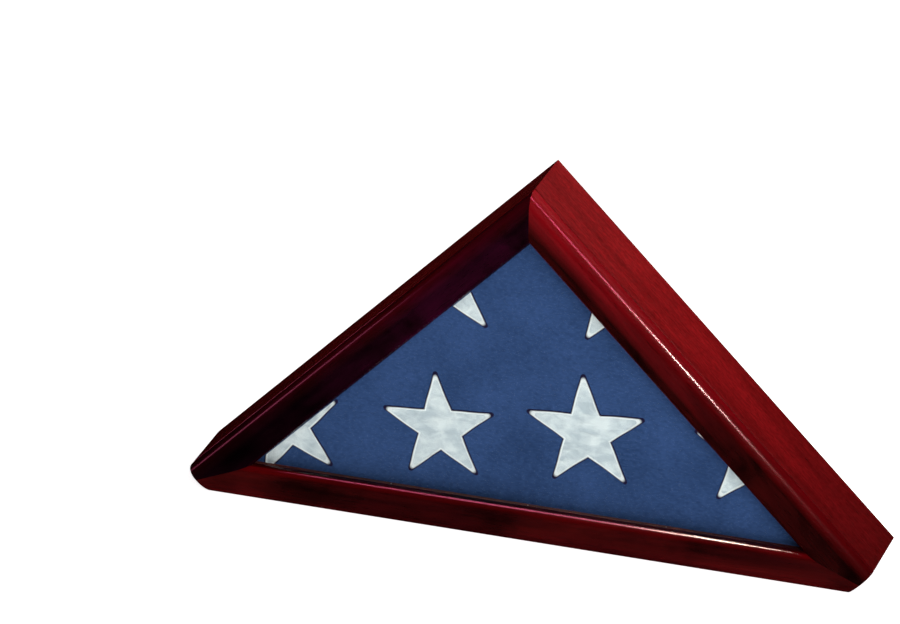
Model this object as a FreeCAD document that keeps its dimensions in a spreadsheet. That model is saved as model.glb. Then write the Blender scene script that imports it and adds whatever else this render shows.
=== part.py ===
import FreeCAD, Part
import os
import Sketcher

# Folded flag display case: a triangular wooden box with a moulded front frame, a glass front and hinged back.
# Millimetres. X runs to the right, Y from the front to the back, Z up.
# The origin is the middle of the underside, on the surface that the case stands on.

SIZES = [
    ("flag_base", 538, "folded flag, along its long side, which the case is made to fit"),
    ("case_depth", 80, "front of the moulding to the back of the walls"),
    ("tip_trim", 20, "how far the two acute tips are cut back, measured along the base"),
    ("rail_width", 32, "moulding, outside edge to sight edge"),
    ("rail_thickness", 16, "moulding, front to back"),
    ("rail_round", 11, "radius of the moulding's outer front edge"),
    ("sight_round", 8, "radius of the moulding's inner front edge"),
    ("groove_size", 1.2, "half width of the V groove between moulding and wall"),
    ("glass_setback", 9, "front of the moulding to the front of the glass"),
    ("glass_rabbet", 8, "width of the ledge that the glass lies on"),
    ("glass_thickness", 2.5, "glass"),
    ("glass_clearance", 0.8, "gap between the glass edge and its rabbet"),
    ("glass_nip", 9, "how far the fragile tips of the glass are nipped off"),
    ("stop_width", 7, "glazing stop, across the rabbet"),
    ("brad_diameter", 1.2, "brad through a glazing stop"),
    ("brad_length", 11, "brad, from the stop's inner edge into the moulding"),
    ("brad_pitch", 120, "distance between the brads of one stop"),
    ("wall_thickness", 16, "boards of the box"),
    ("edge_ease", 1, "bevel on the back edge of the walls"),
    ("key_leg", 22, "mitre key, along each leg from the peak"),
    ("key_thickness", 3, "mitre key, front to back"),
    ("key_pitch", 26, "distance between the two mitre keys"),
    ("cleat_width", 4, "cleat that the back panel closes on, out from the wall"),
    ("cleat_depth", 8, "cleat, front to back"),
    ("block_height", 26, "glue block in the peak, from its point down"),
    ("panel_thickness", 6, "back panel"),
    ("panel_clearance", 1.5, "gap between the back panel and the walls, wide enough for it to swing"),
    ("panel_seat_gap", 0.3, "gap between the closed back panel and its cleats"),
    ("panel_nip", 20, "how far the acute tips of the back panel are cut off, so that they swing clear"),
    ("finger_gap", 9, "how far the panel's top is cut down, so that a finger can catch it"),
    ("felt_thickness", 1.5, "felt on the inside of the back panel"),
    ("felt_margin", 1, "gap between the felt and the cleats"),
    ("magnet_diameter", 8, "catch magnet and its strike disc"),
    ("magnet_thickness", 3, "catch magnet"),
    ("magnet_drop", 17, "centre of the magnet below the point of the cavity"),
    ("strike_thickness", 1, "steel disc in the back panel"),
    ("disc_clearance", 0.2, "added to the diameter of the pockets for magnet and disc"),
    ("hinge_spread", 300, "distance between the middles of the two hinges"),
    ("hinge_length", 32, "hinge, along its pin"),
    ("hinge_leaf", 12, "hinge leaf, from the pin to its edge"),
    ("leaf_thickness", 1, "hinge leaf"),
    ("knuckle_radius", 2, "outside of the hinge knuckles"),
    ("knuckle_gap", 0.3, "gap between a knuckle and whatever it turns past"),
    ("pin_radius", 1, "hinge pin"),
    ("pin_clearance", 0.05, "radial clearance of the pin in the knuckles"),
    ("pin_overhang", 0.8, "pin, past each end of the knuckles"),
    ("screw_pitch", 18, "distance between the two screws of a leaf"),
    ("screw_reach", 7.6, "screws, from the hinge pin"),
    ("screw_diameter", 2, "screw shank"),
    ("screw_head", 4, "screw head"),
    ("screw_clearance", 0.1, "added to the diameter of the screw holes"),
    ("case_screw_length", 12, "screw into the base wall"),
    ("panel_screw_length", 5, "screw into the back panel"),
    ("flag_side_gap", 6.77, "gap between the flag and the leg walls"),
    ("flag_front_gap", 1.2, "gap between the flag and the moulding, with room for the stars"),
    ("flag_back_gap", 1.5, "gap between the flag and the cleats"),
    ("flag_foot_gap", 0.3, "gap between the flag and the base wall"),
    ("flag_tip_round", 14, "radius of the flag's acute corners, seen from the front"),
    ("flag_peak_round", 12, "radius of the flag's top corner, seen from the front"),
    ("flag_fold_round", 9, "radius of the flag's folded edges"),
    ("star_radius", 50, "star, centre to point"),
    ("star_thickness", 0.8, "star cloth and its stitching"),
    ("star_turn", 8, "degrees that the stars lean to the left"),
    ("row_turn", 4.5, "degrees that the rows of stars rise to the right"),
    ("low_row_pitch", 133, "lower row, star to star"),
    ("low_row_x", -80, "a star of the lower row, from the middle"),
    ("low_row_z", 87.5, "that star, above the underside"),
    ("high_row_pitch", 143, "upper row, star to star"),
    ("high_row_x", -75, "first star of the upper row, from the middle"),
    ("high_row_z", 222, "that star, above the underside"),
    ("cut_margin", 5, "how far a cut runs past the wood"),
]

# Sizes that follow from those above, worked out in the same sheet.
FLAG_ROOM = "2 * (wall_thickness + flag_foot_gap) + 2 * sqrt(2) * (wall_thickness + flag_side_gap)"
BEHIND_FLAG = "flag_back_gap + cleat_depth + panel_seat_gap + panel_thickness"
FOLLOWING = [
    ("base_length", f"=flag_base + {FLAG_ROOM}",
     "outside base, measured to the sharp corners before the tips are trimmed"),
    ("flag_thickness", f"=case_depth - rail_thickness - flag_front_gap - ({BEHIND_FLAG})",
     "folded flag, front to back"),
]

SHEET_NAME = "Sizes"
doc = FreeCAD.newDocument("FoldedFlagCase")
sheet = doc.addObject("Spreadsheet::Sheet", SHEET_NAME)
for row, (alias, value, note) in enumerate(SIZES + FOLLOWING, start=1):
    sheet.set(f"A{row}", note)
    sheet.set(f"B{row}", str(value))
    sheet.setAlias(f"B{row}", alias)
doc.recompute()

# Planes and lengths that several pieces share, as expressions of the driving sizes.
HALF = "Sizes.base_length / 2"
# A 45 degree corner moves in by this much for each millimetre that its two sides move in.
TIP_RUN = "(1 + sqrt(2))"
LEG = "Sizes.base_length / sqrt(2)"
FRONT = "-Sizes.case_depth / 2"
BACK = "Sizes.case_depth / 2"
RAIL_BACK = f"({FRONT} + Sizes.rail_thickness)"
GLASS_FRONT = f"({FRONT} + Sizes.glass_setback)"
GLASS_BACK = f"({GLASS_FRONT} + Sizes.glass_thickness)"
RABBET_EDGE = "(Sizes.rail_width - Sizes.glass_rabbet)"
STOP_EDGE = f"({RABBET_EDGE} + Sizes.stop_width)"
PANEL_FRONT = f"({BACK} - Sizes.panel_thickness)"
CLEAT_BACK = f"({PANEL_FRONT} - Sizes.panel_seat_gap)"
CLEAT_FRONT = f"({CLEAT_BACK} - Sizes.cleat_depth)"
CLEAT_EDGE = "(Sizes.wall_thickness + Sizes.cleat_width)"
PANEL_EDGE = "(Sizes.wall_thickness + Sizes.panel_clearance)"
FELT_EDGE = f"({CLEAT_EDGE} + Sizes.felt_margin)"
PANEL_END = f"({HALF} - {TIP_RUN} * {PANEL_EDGE} - Sizes.panel_nip)"
TIP_BLOCK_FACE = f"({PANEL_END} + Sizes.panel_clearance)"
CAVITY_PEAK = f"({HALF} - sqrt(2) * Sizes.wall_thickness)"
BLOCK_FOOT = f"({CAVITY_PEAK} - Sizes.block_height)"
MAGNET_HEIGHT = f"({CAVITY_PEAK} - Sizes.magnet_drop)"
FLAG_FRONT = f"({RAIL_BACK} + Sizes.flag_front_gap)"
FLAG_FOOT = "(Sizes.wall_thickness + Sizes.flag_foot_gap)"
# The pin lies over the gap under the back panel, clear of the back face.
PIN_HEIGHT = "(Sizes.wall_thickness + Sizes.panel_clearance / 2)"
PIN_LIFT = "(Sizes.knuckle_radius + Sizes.knuckle_gap)"

# The base lies as drawn. Each leg is drawn lying down, outside face at the bottom, and turned up into place.
LEG_ANGLE = {"base": 0, "right": 225, "left": 135}
LEG_SHIFT = {"base": "0", "right": "Sizes.base_length / 4", "left": "-Sizes.base_length / 4"}
STAR_POINTS = 5
# Two positions nearer than this are the same one.
SAME_PLACE = 1e-6
# On each leg this sign points along the drawn X towards the acute tip.
TIP_SIGN = {"right": "-1", "left": "1"}


def measure(expression):
    """The value that an expression has now, as a plain number."""
    value = sheet.evalExpression(expression)
    return float(getattr(value, "Value", value))


def new_body(label):
    body = doc.addObject("PartDesign::Body", label)
    body.Label = label
    return body


def own_plane(body, role):
    for feature in body.Origin.OriginFeatures:
        if feature.Role == role:
            return feature
    raise ValueError(role)


def new_sketch(body, name, plane, offset="0"):
    """An empty sketch on one of the body's own planes, moved along the plane's normal by offset."""
    sketch = body.newObject("Sketcher::SketchObject", name)
    sketch.AttachmentSupport = [(own_plane(body, plane), "")]
    sketch.MapMode = "FlatFace"
    sketch.setExpression("AttachmentOffset.Base.z", offset)
    return sketch


def drive(sketch, kind, items, expression):
    """Add one constraint and bind it to an expression."""
    index = sketch.addConstraint(Sketcher.Constraint(kind, *items, measure(expression)))
    sketch.setExpression(f"Constraints[{index}]", expression)


def place_point(sketch, geometry, point, x, y):
    """Fix a point of the sketch at x, y from the sketch's own origin."""
    for kind, expression, axis in (("DistanceX", x, -2), ("DistanceY", y, -1)):
        if expression == "0":
            sketch.addConstraint(Sketcher.Constraint("PointOnObject", geometry, point, axis))
        else:
            drive(sketch, kind, (-1, 1, geometry, point), expression)


def draw_outline(sketch, corners):
    """A closed outline. A corner is X and Y, then a centre and radius where the side after it is an arc."""
    spots = [FreeCAD.Vector(measure(x), measure(y), 0) for x, y, *arc in corners]
    count = len(corners)
    first_point = {}
    last_point = {}
    for side in range(count):
        start = spots[side]
        end = spots[(side + 1) % count]
        x, y, *arc = corners[side]
        if not arc:
            geometry = sketch.addGeometry(Part.LineSegment(start, end))
            first_point[side] = (geometry, 1)
            last_point[side] = (geometry, 2)
            continue
        centre_x, centre_y, radius = arc
        centre = FreeCAD.Vector(measure(centre_x), measure(centre_y), 0)
        counter_clockwise = (start - centre).cross(end - centre).z > 0
        circle = Part.Circle(centre, FreeCAD.Vector(0, 0, 1), measure(radius))
        ends = (start, end) if counter_clockwise else (end, start)
        turn = Part.ArcOfCircle(circle, circle.parameter(ends[0]), circle.parameter(ends[1]))
        geometry = sketch.addGeometry(turn)
        first_point[side] = (geometry, 1 if counter_clockwise else 2)
        last_point[side] = (geometry, 2 if counter_clockwise else 1)
    for side in range(count):
        joint = (*last_point[side], *first_point[(side + 1) % count])
        sketch.addConstraint(Sketcher.Constraint("Coincident", *joint))
        x, y, *arc = corners[side]
        place_point(sketch, *first_point[side], x, y)
        if arc:
            drive(sketch, "Radius", (first_point[side][0],), arc[-1])


def draw_circle(sketch, x, y, radius):
    centre = FreeCAD.Vector(measure(x), measure(y), 0)
    circle = sketch.addGeometry(Part.Circle(centre, FreeCAD.Vector(0, 0, 1), measure(radius)))
    place_point(sketch, circle, 3, x, y)
    drive(sketch, "Radius", (circle,), radius)


def pad(body, sketch, length, symmetric=False, backwards=False):
    feature = body.newObject("PartDesign::Pad", "Pad")
    feature.Profile = sketch
    feature.setExpression("Length", length)
    feature.SideType = "Symmetric" if symmetric else "One side"
    feature.Reversed = backwards
    return feature


def cut(body, sketch, length=None, symmetric=False, backwards=False):
    """A pocket of the given length, or right through both ways without one. It has to remove wood."""
    doc.recompute()
    before = body.Shape.Volume
    feature = body.newObject("PartDesign::Pocket", "Pocket")
    feature.Profile = sketch
    if length is None:
        feature.Type = "ThroughAll"
    else:
        feature.setExpression("Length", length)
    feature.SideType = "Symmetric" if symmetric or length is None else "One side"
    feature.Reversed = backwards
    doc.recompute()
    if not body.Shape.Volume < before:
        raise RuntimeError(f"{body.Label}: a pocket removes nothing")
    return feature


def slab(label, corners, front, thickness):
    """A flat piece: an outline seen from the front, carried back from the plane y = front."""
    body = new_body(label)
    # The normal of this plane points to the front, so both the offset and the pad are turned round.
    sketch = new_sketch(body, "Outline", "XZ_Plane", f"-({front})")
    draw_outline(sketch, corners)
    pad(body, sketch, thickness, backwards=True)
    return body


def triangle(inset, nip, top):
    """The outline at a distance inside the outer faces, with its acute tips nipped and its peak cut level.
    nip is measured along the base and top is the height of the cut."""
    edge = f"({HALF} - {TIP_RUN} * {inset} - {nip})"
    shoulder = f"({inset} + {nip})"
    peak_half = f"({HALF} - sqrt(2) * {inset} - {top})"
    return [
        (f"-{edge}", inset),
        (edge, inset),
        (edge, shoulder),
        (peak_half, top),
        (f"-{peak_half}", top),
        (f"-{edge}", shoulder),
    ]


def trim_ends(body, side, reach):
    """Mitre the ends of a drawn length: 22.5 degrees at an acute tip, which is also cut square to the leg,
    and 45 degrees at the peak. reach is the inside edge of the wood."""
    far = f"({reach} + Sizes.cut_margin)"
    margin = "Sizes.cut_margin"
    tip_cut = "(sqrt(2) * Sizes.tip_trim)"
    meeting = "((2 - sqrt(2)) * Sizes.tip_trim)"
    if side == "base":
        for sign in ("1", "-1"):
            sketch = new_sketch(body, "TipMitre", "XZ_Plane")
            end = f"{sign} * ({HALF}"
            draw_outline(sketch, [
                (f"{end} - 2 * Sizes.tip_trim - {margin})", f"-{margin}"),
                (f"{end} - {tip_cut})", meeting),
                (f"{end} - {TIP_RUN} * {far})", far),
                (f"{end} + {margin})", far),
                (f"{end} + {margin})", f"-{margin}"),
            ])
            cut(body, sketch)
        return
    tip = TIP_SIGN[side]
    end = f"{tip} * ({LEG} / 2"
    sketch = new_sketch(body, "TipMitre", "XZ_Plane")
    draw_outline(sketch, [
        (f"{end} - {tip_cut})", f"-{margin}"),
        (f"{end} - {tip_cut})", meeting),
        (f"{end} - {TIP_RUN} * {far})", far),
        (f"{end} + {margin})", far),
        (f"{end} + {margin})", f"-{margin}"),
    ])
    cut(body, sketch)
    end = f"-{tip} * ({LEG} / 2"
    sketch = new_sketch(body, "PeakMitre", "XZ_Plane")
    draw_outline(sketch, [
        (f"{end} + {margin})", f"-{margin}"),
        (f"{end} - {far})", far),
        (f"{end} + {margin})", far),
    ])
    cut(body, sketch)


def raise_to_side(body, side):
    """Turn a drawn length up to its side of the triangle."""
    turn = FreeCAD.Rotation(FreeCAD.Vector(0, 1, 0), LEG_ANGLE[side])
    body.Placement = FreeCAD.Placement(FreeCAD.Vector(0, 0, 0), turn)
    body.setExpression("Placement.Base.x", LEG_SHIFT[side])
    body.setExpression("Placement.Base.z", "0" if side == "base" else "Sizes.base_length / 4")


def mitred_length(label, side, profile, reach):
    """One of the three lengths that go round the triangle. profile is drawn as depth and distance inwards."""
    body = new_body(label)
    sketch = new_sketch(body, "Profile", "YZ_Plane")
    draw_outline(sketch, profile)
    pad(body, sketch, "Sizes.base_length" if side == "base" else LEG, symmetric=True)
    trim_ends(body, side, reach)
    raise_to_side(body, side)
    return body


def drill_brads(body):
    """Three blind holes in line, driven outwards from the stop's inner edge."""
    sketch = new_sketch(body, "Brads", "XY_Plane", STOP_EDGE)
    for step in ("-1", "0", "1"):
        x = "0" if step == "0" else f"{step} * Sizes.brad_pitch"
        draw_circle(sketch, x, f"({GLASS_BACK} + {RAIL_BACK}) / 2", "Sizes.brad_diameter / 2")
    return sketch


def front_rail(side):
    """Moulding of the front frame: rounded outside and at the sight edge, with a rabbet for the glass."""
    outer_edge = (f"{FRONT} + Sizes.rail_round", "Sizes.rail_round", "Sizes.rail_round")
    sight_edge = (f"{FRONT} + Sizes.sight_round", "Sizes.rail_width - Sizes.sight_round", "Sizes.sight_round")
    profile = [
        (f"{FRONT} + Sizes.rail_round", "0", *outer_edge),
        (FRONT, "Sizes.rail_round"),
        (FRONT, "Sizes.rail_width - Sizes.sight_round", *sight_edge),
        (f"{FRONT} + Sizes.sight_round", "Sizes.rail_width"),
        (GLASS_FRONT, "Sizes.rail_width"),
        (GLASS_FRONT, RABBET_EDGE),
        (RAIL_BACK, RABBET_EDGE),
        (RAIL_BACK, "Sizes.groove_size"),
        (f"{RAIL_BACK} - Sizes.groove_size", "0"),
    ]
    body = mitred_length(f"front_rail_{side}", side, profile, "Sizes.rail_width")
    cut(body, drill_brads(body), "Sizes.brad_length")
    return body


def glazing_stop(side):
    """Square strip behind the glass, held by brads."""
    profile = [
        (GLASS_BACK, RABBET_EDGE),
        (RAIL_BACK, RABBET_EDGE),
        (RAIL_BACK, STOP_EDGE),
        (GLASS_BACK, STOP_EDGE),
    ]
    body = mitred_length(f"glazing_stop_{side}", side, profile, STOP_EDGE)
    cut(body, drill_brads(body), "Sizes.brad_length")
    return body


def stop_brads(side):
    """The three brads of one stop, drawn in the stop's own place."""
    body = new_body(f"brads_{side}")
    pad(body, drill_brads(body), "Sizes.brad_length", backwards=True)
    raise_to_side(body, side)
    return body


def wall(side):
    """Board of the box, with a bevel at the groove behind the moulding and an eased back edge."""
    profile = [
        (f"{RAIL_BACK} + Sizes.groove_size", "0"),
        (f"{BACK} - Sizes.edge_ease", "0"),
        (BACK, "Sizes.edge_ease"),
        (BACK, "Sizes.wall_thickness"),
        (RAIL_BACK, "Sizes.wall_thickness"),
        (RAIL_BACK, "Sizes.groove_size"),
    ]
    body = mitred_length(f"wall_{side}", side, profile, "Sizes.wall_thickness")
    if side == "base":
        drill_screws(body, "-1", f"-({BACK})", "Sizes.case_screw_length - Sizes.leaf_thickness")
    else:
        saw_key_slots(body, side)
    return body


def key_depths():
    """Middle planes of the two mitre keys, spaced evenly about the middle of the walls."""
    middle = f"({RAIL_BACK} + {BACK}) / 2"
    return [f"({middle} - Sizes.key_pitch / 2)", f"({middle} + Sizes.key_pitch / 2)"]


def saw_key_slots(body, side):
    """Two saw cuts across the peak joint, each half in this leg."""
    tip = TIP_SIGN[side]
    peak = f"-{tip} * ({LEG} / 2"
    for depth in key_depths():
        sketch = new_sketch(body, "KeySlot", "XZ_Plane", f"-{depth}")
        draw_outline(sketch, [
            (f"{peak} - Sizes.key_leg)", "0"),
            (f"{peak} + Sizes.key_leg)", "0"),
            (f"{peak})", "Sizes.key_leg"),
        ])
        cut(body, sketch, "Sizes.key_thickness", symmetric=True)


def mitre_keys():
    """Two three-cornered keys that fill the saw cuts, flush with the outside."""
    body = new_body("mitre_keys")
    reach = "Sizes.key_leg / sqrt(2)"
    for depth in key_depths():
        sketch = new_sketch(body, "Key", "XZ_Plane", f"-{depth}")
        draw_outline(sketch, [
            (f"-{reach}", f"{HALF} - {reach}"),
            (reach, f"{HALF} - {reach}"),
            ("0", HALF),
        ])
        pad(body, sketch, "Sizes.key_thickness", symmetric=True)
    return body


def on_leg(inset, other):
    """A line parallel to the right leg, inset from its outer face: its height at a distance from the middle,
    or its distance from the middle at a height. The leg stands at 45 degrees, so both are the same sum."""
    return f"({HALF} - sqrt(2) * {inset} - {other})"


def mirrored(corners):
    return [(f"-{x}", height) for x, height in corners]


def cleat(side):
    """Thin strip inside a wall that stops the back panel. It runs from glue block to glue block."""
    if side == "base":
        corners = [
            (f"-{TIP_BLOCK_FACE}", "Sizes.wall_thickness"),
            (TIP_BLOCK_FACE, "Sizes.wall_thickness"),
            (TIP_BLOCK_FACE, CLEAT_EDGE),
            (f"-{TIP_BLOCK_FACE}", CLEAT_EDGE),
        ]
    else:
        corners = [
            (TIP_BLOCK_FACE, on_leg("Sizes.wall_thickness", TIP_BLOCK_FACE)),
            (on_leg("Sizes.wall_thickness", BLOCK_FOOT), BLOCK_FOOT),
            (on_leg(CLEAT_EDGE, BLOCK_FOOT), BLOCK_FOOT),
            (TIP_BLOCK_FACE, on_leg(CLEAT_EDGE, TIP_BLOCK_FACE)),
        ]
    if side == "left":
        corners = mirrored(corners)
    return slab(f"cleat_{side}", corners, CLEAT_FRONT, "Sizes.cleat_depth")


def tip_block(side):
    """Three-cornered glue block that fills an acute corner, flush with the back beside the panel's end."""
    corners = [
        (TIP_BLOCK_FACE, "Sizes.wall_thickness"),
        (f"({HALF} - {TIP_RUN} * Sizes.wall_thickness)", "Sizes.wall_thickness"),
        (TIP_BLOCK_FACE, on_leg("Sizes.wall_thickness", TIP_BLOCK_FACE)),
    ]
    if side == "left":
        corners = mirrored(corners)
    return slab(f"tip_block_{side}", corners, CLEAT_FRONT, f"{BACK} - {CLEAT_FRONT}")


def bore_disc(body, plane_y, depth, towards_front):
    """A round pocket for the magnet or its strike disc."""
    sketch = new_sketch(body, "DiscPocket", "XZ_Plane", f"-({plane_y})")
    draw_circle(sketch, "0", MAGNET_HEIGHT, "(Sizes.magnet_diameter + Sizes.disc_clearance) / 2")
    cut(body, sketch, depth, backwards=towards_front)


def peak_block():
    """Three-cornered glue block behind the peak joint, which carries the magnet."""
    corners = [
        ("-Sizes.block_height", BLOCK_FOOT),
        ("Sizes.block_height", BLOCK_FOOT),
        ("0", CAVITY_PEAK),
    ]
    body = slab("peak_block", corners, CLEAT_FRONT, "Sizes.cleat_depth")
    bore_disc(body, CLEAT_BACK, "Sizes.magnet_thickness", True)
    return body


def disc(label, front, thickness):
    """A plain disc, flush in its pocket."""
    body = new_body(label)
    sketch = new_sketch(body, "Disc", "XZ_Plane", f"-({front})")
    draw_circle(sketch, "0", MAGNET_HEIGHT, "Sizes.magnet_diameter / 2")
    pad(body, sketch, thickness, backwards=True)
    return body


def back_panel():
    """Plywood back, inside the walls and flush with them, with its top cut down for a finger."""
    top = f"({HALF} - sqrt(2) * {PANEL_EDGE} - Sizes.finger_gap)"
    corners = triangle(PANEL_EDGE, "Sizes.panel_nip", top)
    body = slab("back_panel", corners, PANEL_FRONT, "Sizes.panel_thickness")
    bore_disc(body, PANEL_FRONT, "Sizes.strike_thickness", False)
    drill_screws(body, "1", f"-({BACK})", "Sizes.panel_screw_length - Sizes.leaf_thickness")
    return body


def screw_places(side):
    """Where the screws of both hinges go, as X and height. side is 1 above the pin and -1 below it."""
    height = f"({PIN_HEIGHT} + {side} * Sizes.screw_reach)"
    for hinge in ("-1", "1"):
        for step in ("-1", "1"):
            yield f"({hinge} * Sizes.hinge_spread / 2 + {step} * Sizes.screw_pitch / 2)", height


def drill_screws(body, side, offset, depth):
    """Blind holes under the hinge leaves, from the back face forwards."""
    sketch = new_sketch(body, "ScrewHoles", "XZ_Plane", offset)
    for x, height in screw_places(side):
        draw_circle(sketch, x, height, "(Sizes.screw_diameter + Sizes.screw_clearance) / 2")
    cut(body, sketch, depth, backwards=True)


def hinge_screws(label, side, length):
    """Countersunk screws, each turned about its own axis, with their heads flush in the leaf."""
    body = new_body(label)
    head_back = f"({BACK} + Sizes.leaf_thickness)"
    cone = "((Sizes.screw_head - Sizes.screw_diameter) / 2)"
    for x, height in screw_places(side):
        sketch = new_sketch(body, "Screw", "YZ_Plane", x)
        draw_outline(sketch, [
            (head_back, height),
            (head_back, f"{height} + Sizes.screw_head / 2"),
            (f"{head_back} - {cone}", f"{height} + Sizes.screw_diameter / 2"),
            (f"{head_back} - {length} + Sizes.screw_diameter / 2", f"{height} + Sizes.screw_diameter / 2"),
            (f"{head_back} - {length}", height),
        ])
        screw = body.newObject("PartDesign::Revolution", "Turned")
        screw.Profile = sketch
        screw.ReferenceAxis = (sketch, ["Edge5"])
        screw.Angle = 360
    return body


def hinge_leaf(label, hand, side):
    """Leaf of a butt hinge, drawn about its pin. The case's leaf (side -1) has the two outer knuckles and the
    panel's leaf (side 1) the one between them."""
    body = new_body(label)
    # Three knuckles of one length share the pin.
    middle = "Sizes.hinge_length / 3 / 2"
    end = "Sizes.hinge_length / 2"
    gap = "Sizes.knuckle_gap"
    clear = f"{side} * {PIN_LIFT}"
    edge = f"{side} * Sizes.hinge_leaf"
    if side == "1":
        own = [(f"-({middle} - {gap} / 2)", f"{middle} - {gap} / 2")]
        plate = [
            (f"-{end}", clear), (own[0][0], clear), (own[0][0], "0"), (own[0][1], "0"), (own[0][1], clear),
            (end, clear), (end, edge), (f"-{end}", edge),
        ]
    else:
        own = [(f"-{end}", f"-({middle} + {gap} / 2)"), (f"{middle} + {gap} / 2", end)]
        plate = [
            (own[0][0], "0"), (own[0][1], "0"), (own[0][1], clear), (own[1][0], clear), (own[1][0], "0"),
            (own[1][1], "0"), (end, edge), (f"-{end}", edge),
        ]
    sketch = new_sketch(body, "Plate", "XZ_Plane", PIN_LIFT)
    draw_outline(sketch, plate)
    pad(body, sketch, "Sizes.leaf_thickness", backwards=True)
    for low, high in own:
        sketch = new_sketch(body, "Knuckle", "YZ_Plane", low)
        draw_circle(sketch, "0", "0", "Sizes.knuckle_radius")
        pad(body, sketch, f"({high}) - ({low})")
    sketch = new_sketch(body, "PinBore", "YZ_Plane")
    draw_circle(sketch, "0", "0", "Sizes.pin_radius + Sizes.pin_clearance")
    cut(body, sketch)
    sketch = new_sketch(body, "ScrewHoles", "XZ_Plane", f"{PIN_LIFT} - Sizes.leaf_thickness")
    for step in ("-1", "1"):
        draw_circle(sketch, f"{step} * Sizes.screw_pitch / 2", f"{side} * Sizes.screw_reach",
                    "(Sizes.screw_diameter + Sizes.screw_clearance) / 2")
    doc.recompute()
    holes = body.newObject("PartDesign::Hole", "Countersunk")
    holes.Profile = sketch
    doc.recompute()
    holes.Reversed = True
    holes.Threaded = False
    holes.DepthType = "ThroughAll"
    holes.HoleCutType = "Countersink"
    holes.HoleCutCustomValues = True
    holes.HoleCutCountersinkAngle = 90
    holes.setExpression("Diameter", "Sizes.screw_diameter + Sizes.screw_clearance")
    holes.setExpression("HoleCutDiameter", "Sizes.screw_head + Sizes.screw_clearance")
    place_hinge(body, hand)
    return body


def hinge_pin(label, hand):
    """Pin right through the knuckles, a little proud at both ends."""
    pin = doc.addObject("Part::Cylinder", label)
    pin.Label = label
    length = "Sizes.hinge_length + 2 * Sizes.pin_overhang"
    pin.setExpression("Radius", "Sizes.pin_radius")
    pin.setExpression("Height", length)
    place_hinge(pin, hand)
    pin.Placement.Rotation = FreeCAD.Rotation(FreeCAD.Vector(0, 1, 0), 90)
    pin.setExpression("Placement.Base.x", f"{hand} * Sizes.hinge_spread / 2 - ({length}) / 2")
    return pin


def place_hinge(piece, hand):
    piece.setExpression("Placement.Base.x", f"{hand} * Sizes.hinge_spread / 2")
    piece.setExpression("Placement.Base.y", f"{BACK} + {PIN_LIFT}")
    piece.setExpression("Placement.Base.z", PIN_HEIGHT)


def flag_outline():
    """The folded flag from the front: a right-angled triangle with soft corners, standing on the base."""
    half = "Sizes.flag_base / 2"
    tip = "Sizes.flag_tip_round"
    peak = "Sizes.flag_peak_round"
    run = f"{TIP_RUN} * {tip}"
    slope = f"{run} / sqrt(2)"
    right_tip = (f"{half} - {run}", f"{FLAG_FOOT} + {tip}", tip)
    left_tip = (f"-({half} - {run})", f"{FLAG_FOOT} + {tip}", tip)
    top = ("0", f"{FLAG_FOOT} + {half} - sqrt(2) * {peak}", peak)
    return [
        (f"-({half} - {run})", FLAG_FOOT),
        (f"{half} - {run}", FLAG_FOOT, *right_tip),
        (f"{half} - {slope}", f"{FLAG_FOOT} + {slope}"),
        (f"{peak} / sqrt(2)", f"{FLAG_FOOT} + {half} - {peak} / sqrt(2)", *top),
        (f"-{peak} / sqrt(2)", f"{FLAG_FOOT} + {half} - {peak} / sqrt(2)"),
        (f"-({half} - {slope})", f"{FLAG_FOOT} + {slope}", *left_tip),
    ]


def folded_flag():
    """Bundle of folded cloth with rolled edges, front and back."""
    body = slab("folded_flag", flag_outline(), FLAG_FRONT, "Sizes.flag_thickness")
    doc.recompute()
    faces = (measure(FLAG_FRONT), measure(f"{FLAG_FRONT} + Sizes.flag_thickness"))
    bundle = body.Tip
    rim = []
    for number, edge in enumerate(bundle.Shape.Edges, start=1):
        low, high = edge.BoundBox.YMin, edge.BoundBox.YMax
        if any(abs(low - y) < SAME_PLACE and abs(high - y) < SAME_PLACE for y in faces):
            rim.append(f"Edge{number}")
    fold = body.newObject("PartDesign::Fillet", "FoldedEdges")
    fold.Base = (bundle, rim)
    fold.setExpression("Radius", "Sizes.flag_fold_round")
    return body


def star_centres():
    """Middles of the stars that show on the folded face, as X and height."""
    for column in ("-1", "0", "1", "2"):
        run = f"{column} * Sizes.low_row_pitch"
        yield (f"Sizes.low_row_x + {run} * cos(Sizes.row_turn * 1 deg)",
               f"Sizes.low_row_z + {run} * sin(Sizes.row_turn * 1 deg)")
    for column in ("0", "1"):
        run = f"{column} * Sizes.high_row_pitch"
        yield (f"Sizes.high_row_x + {run} * cos(Sizes.row_turn * 1 deg)",
               f"Sizes.high_row_z + {run} * sin(Sizes.row_turn * 1 deg)")


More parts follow.
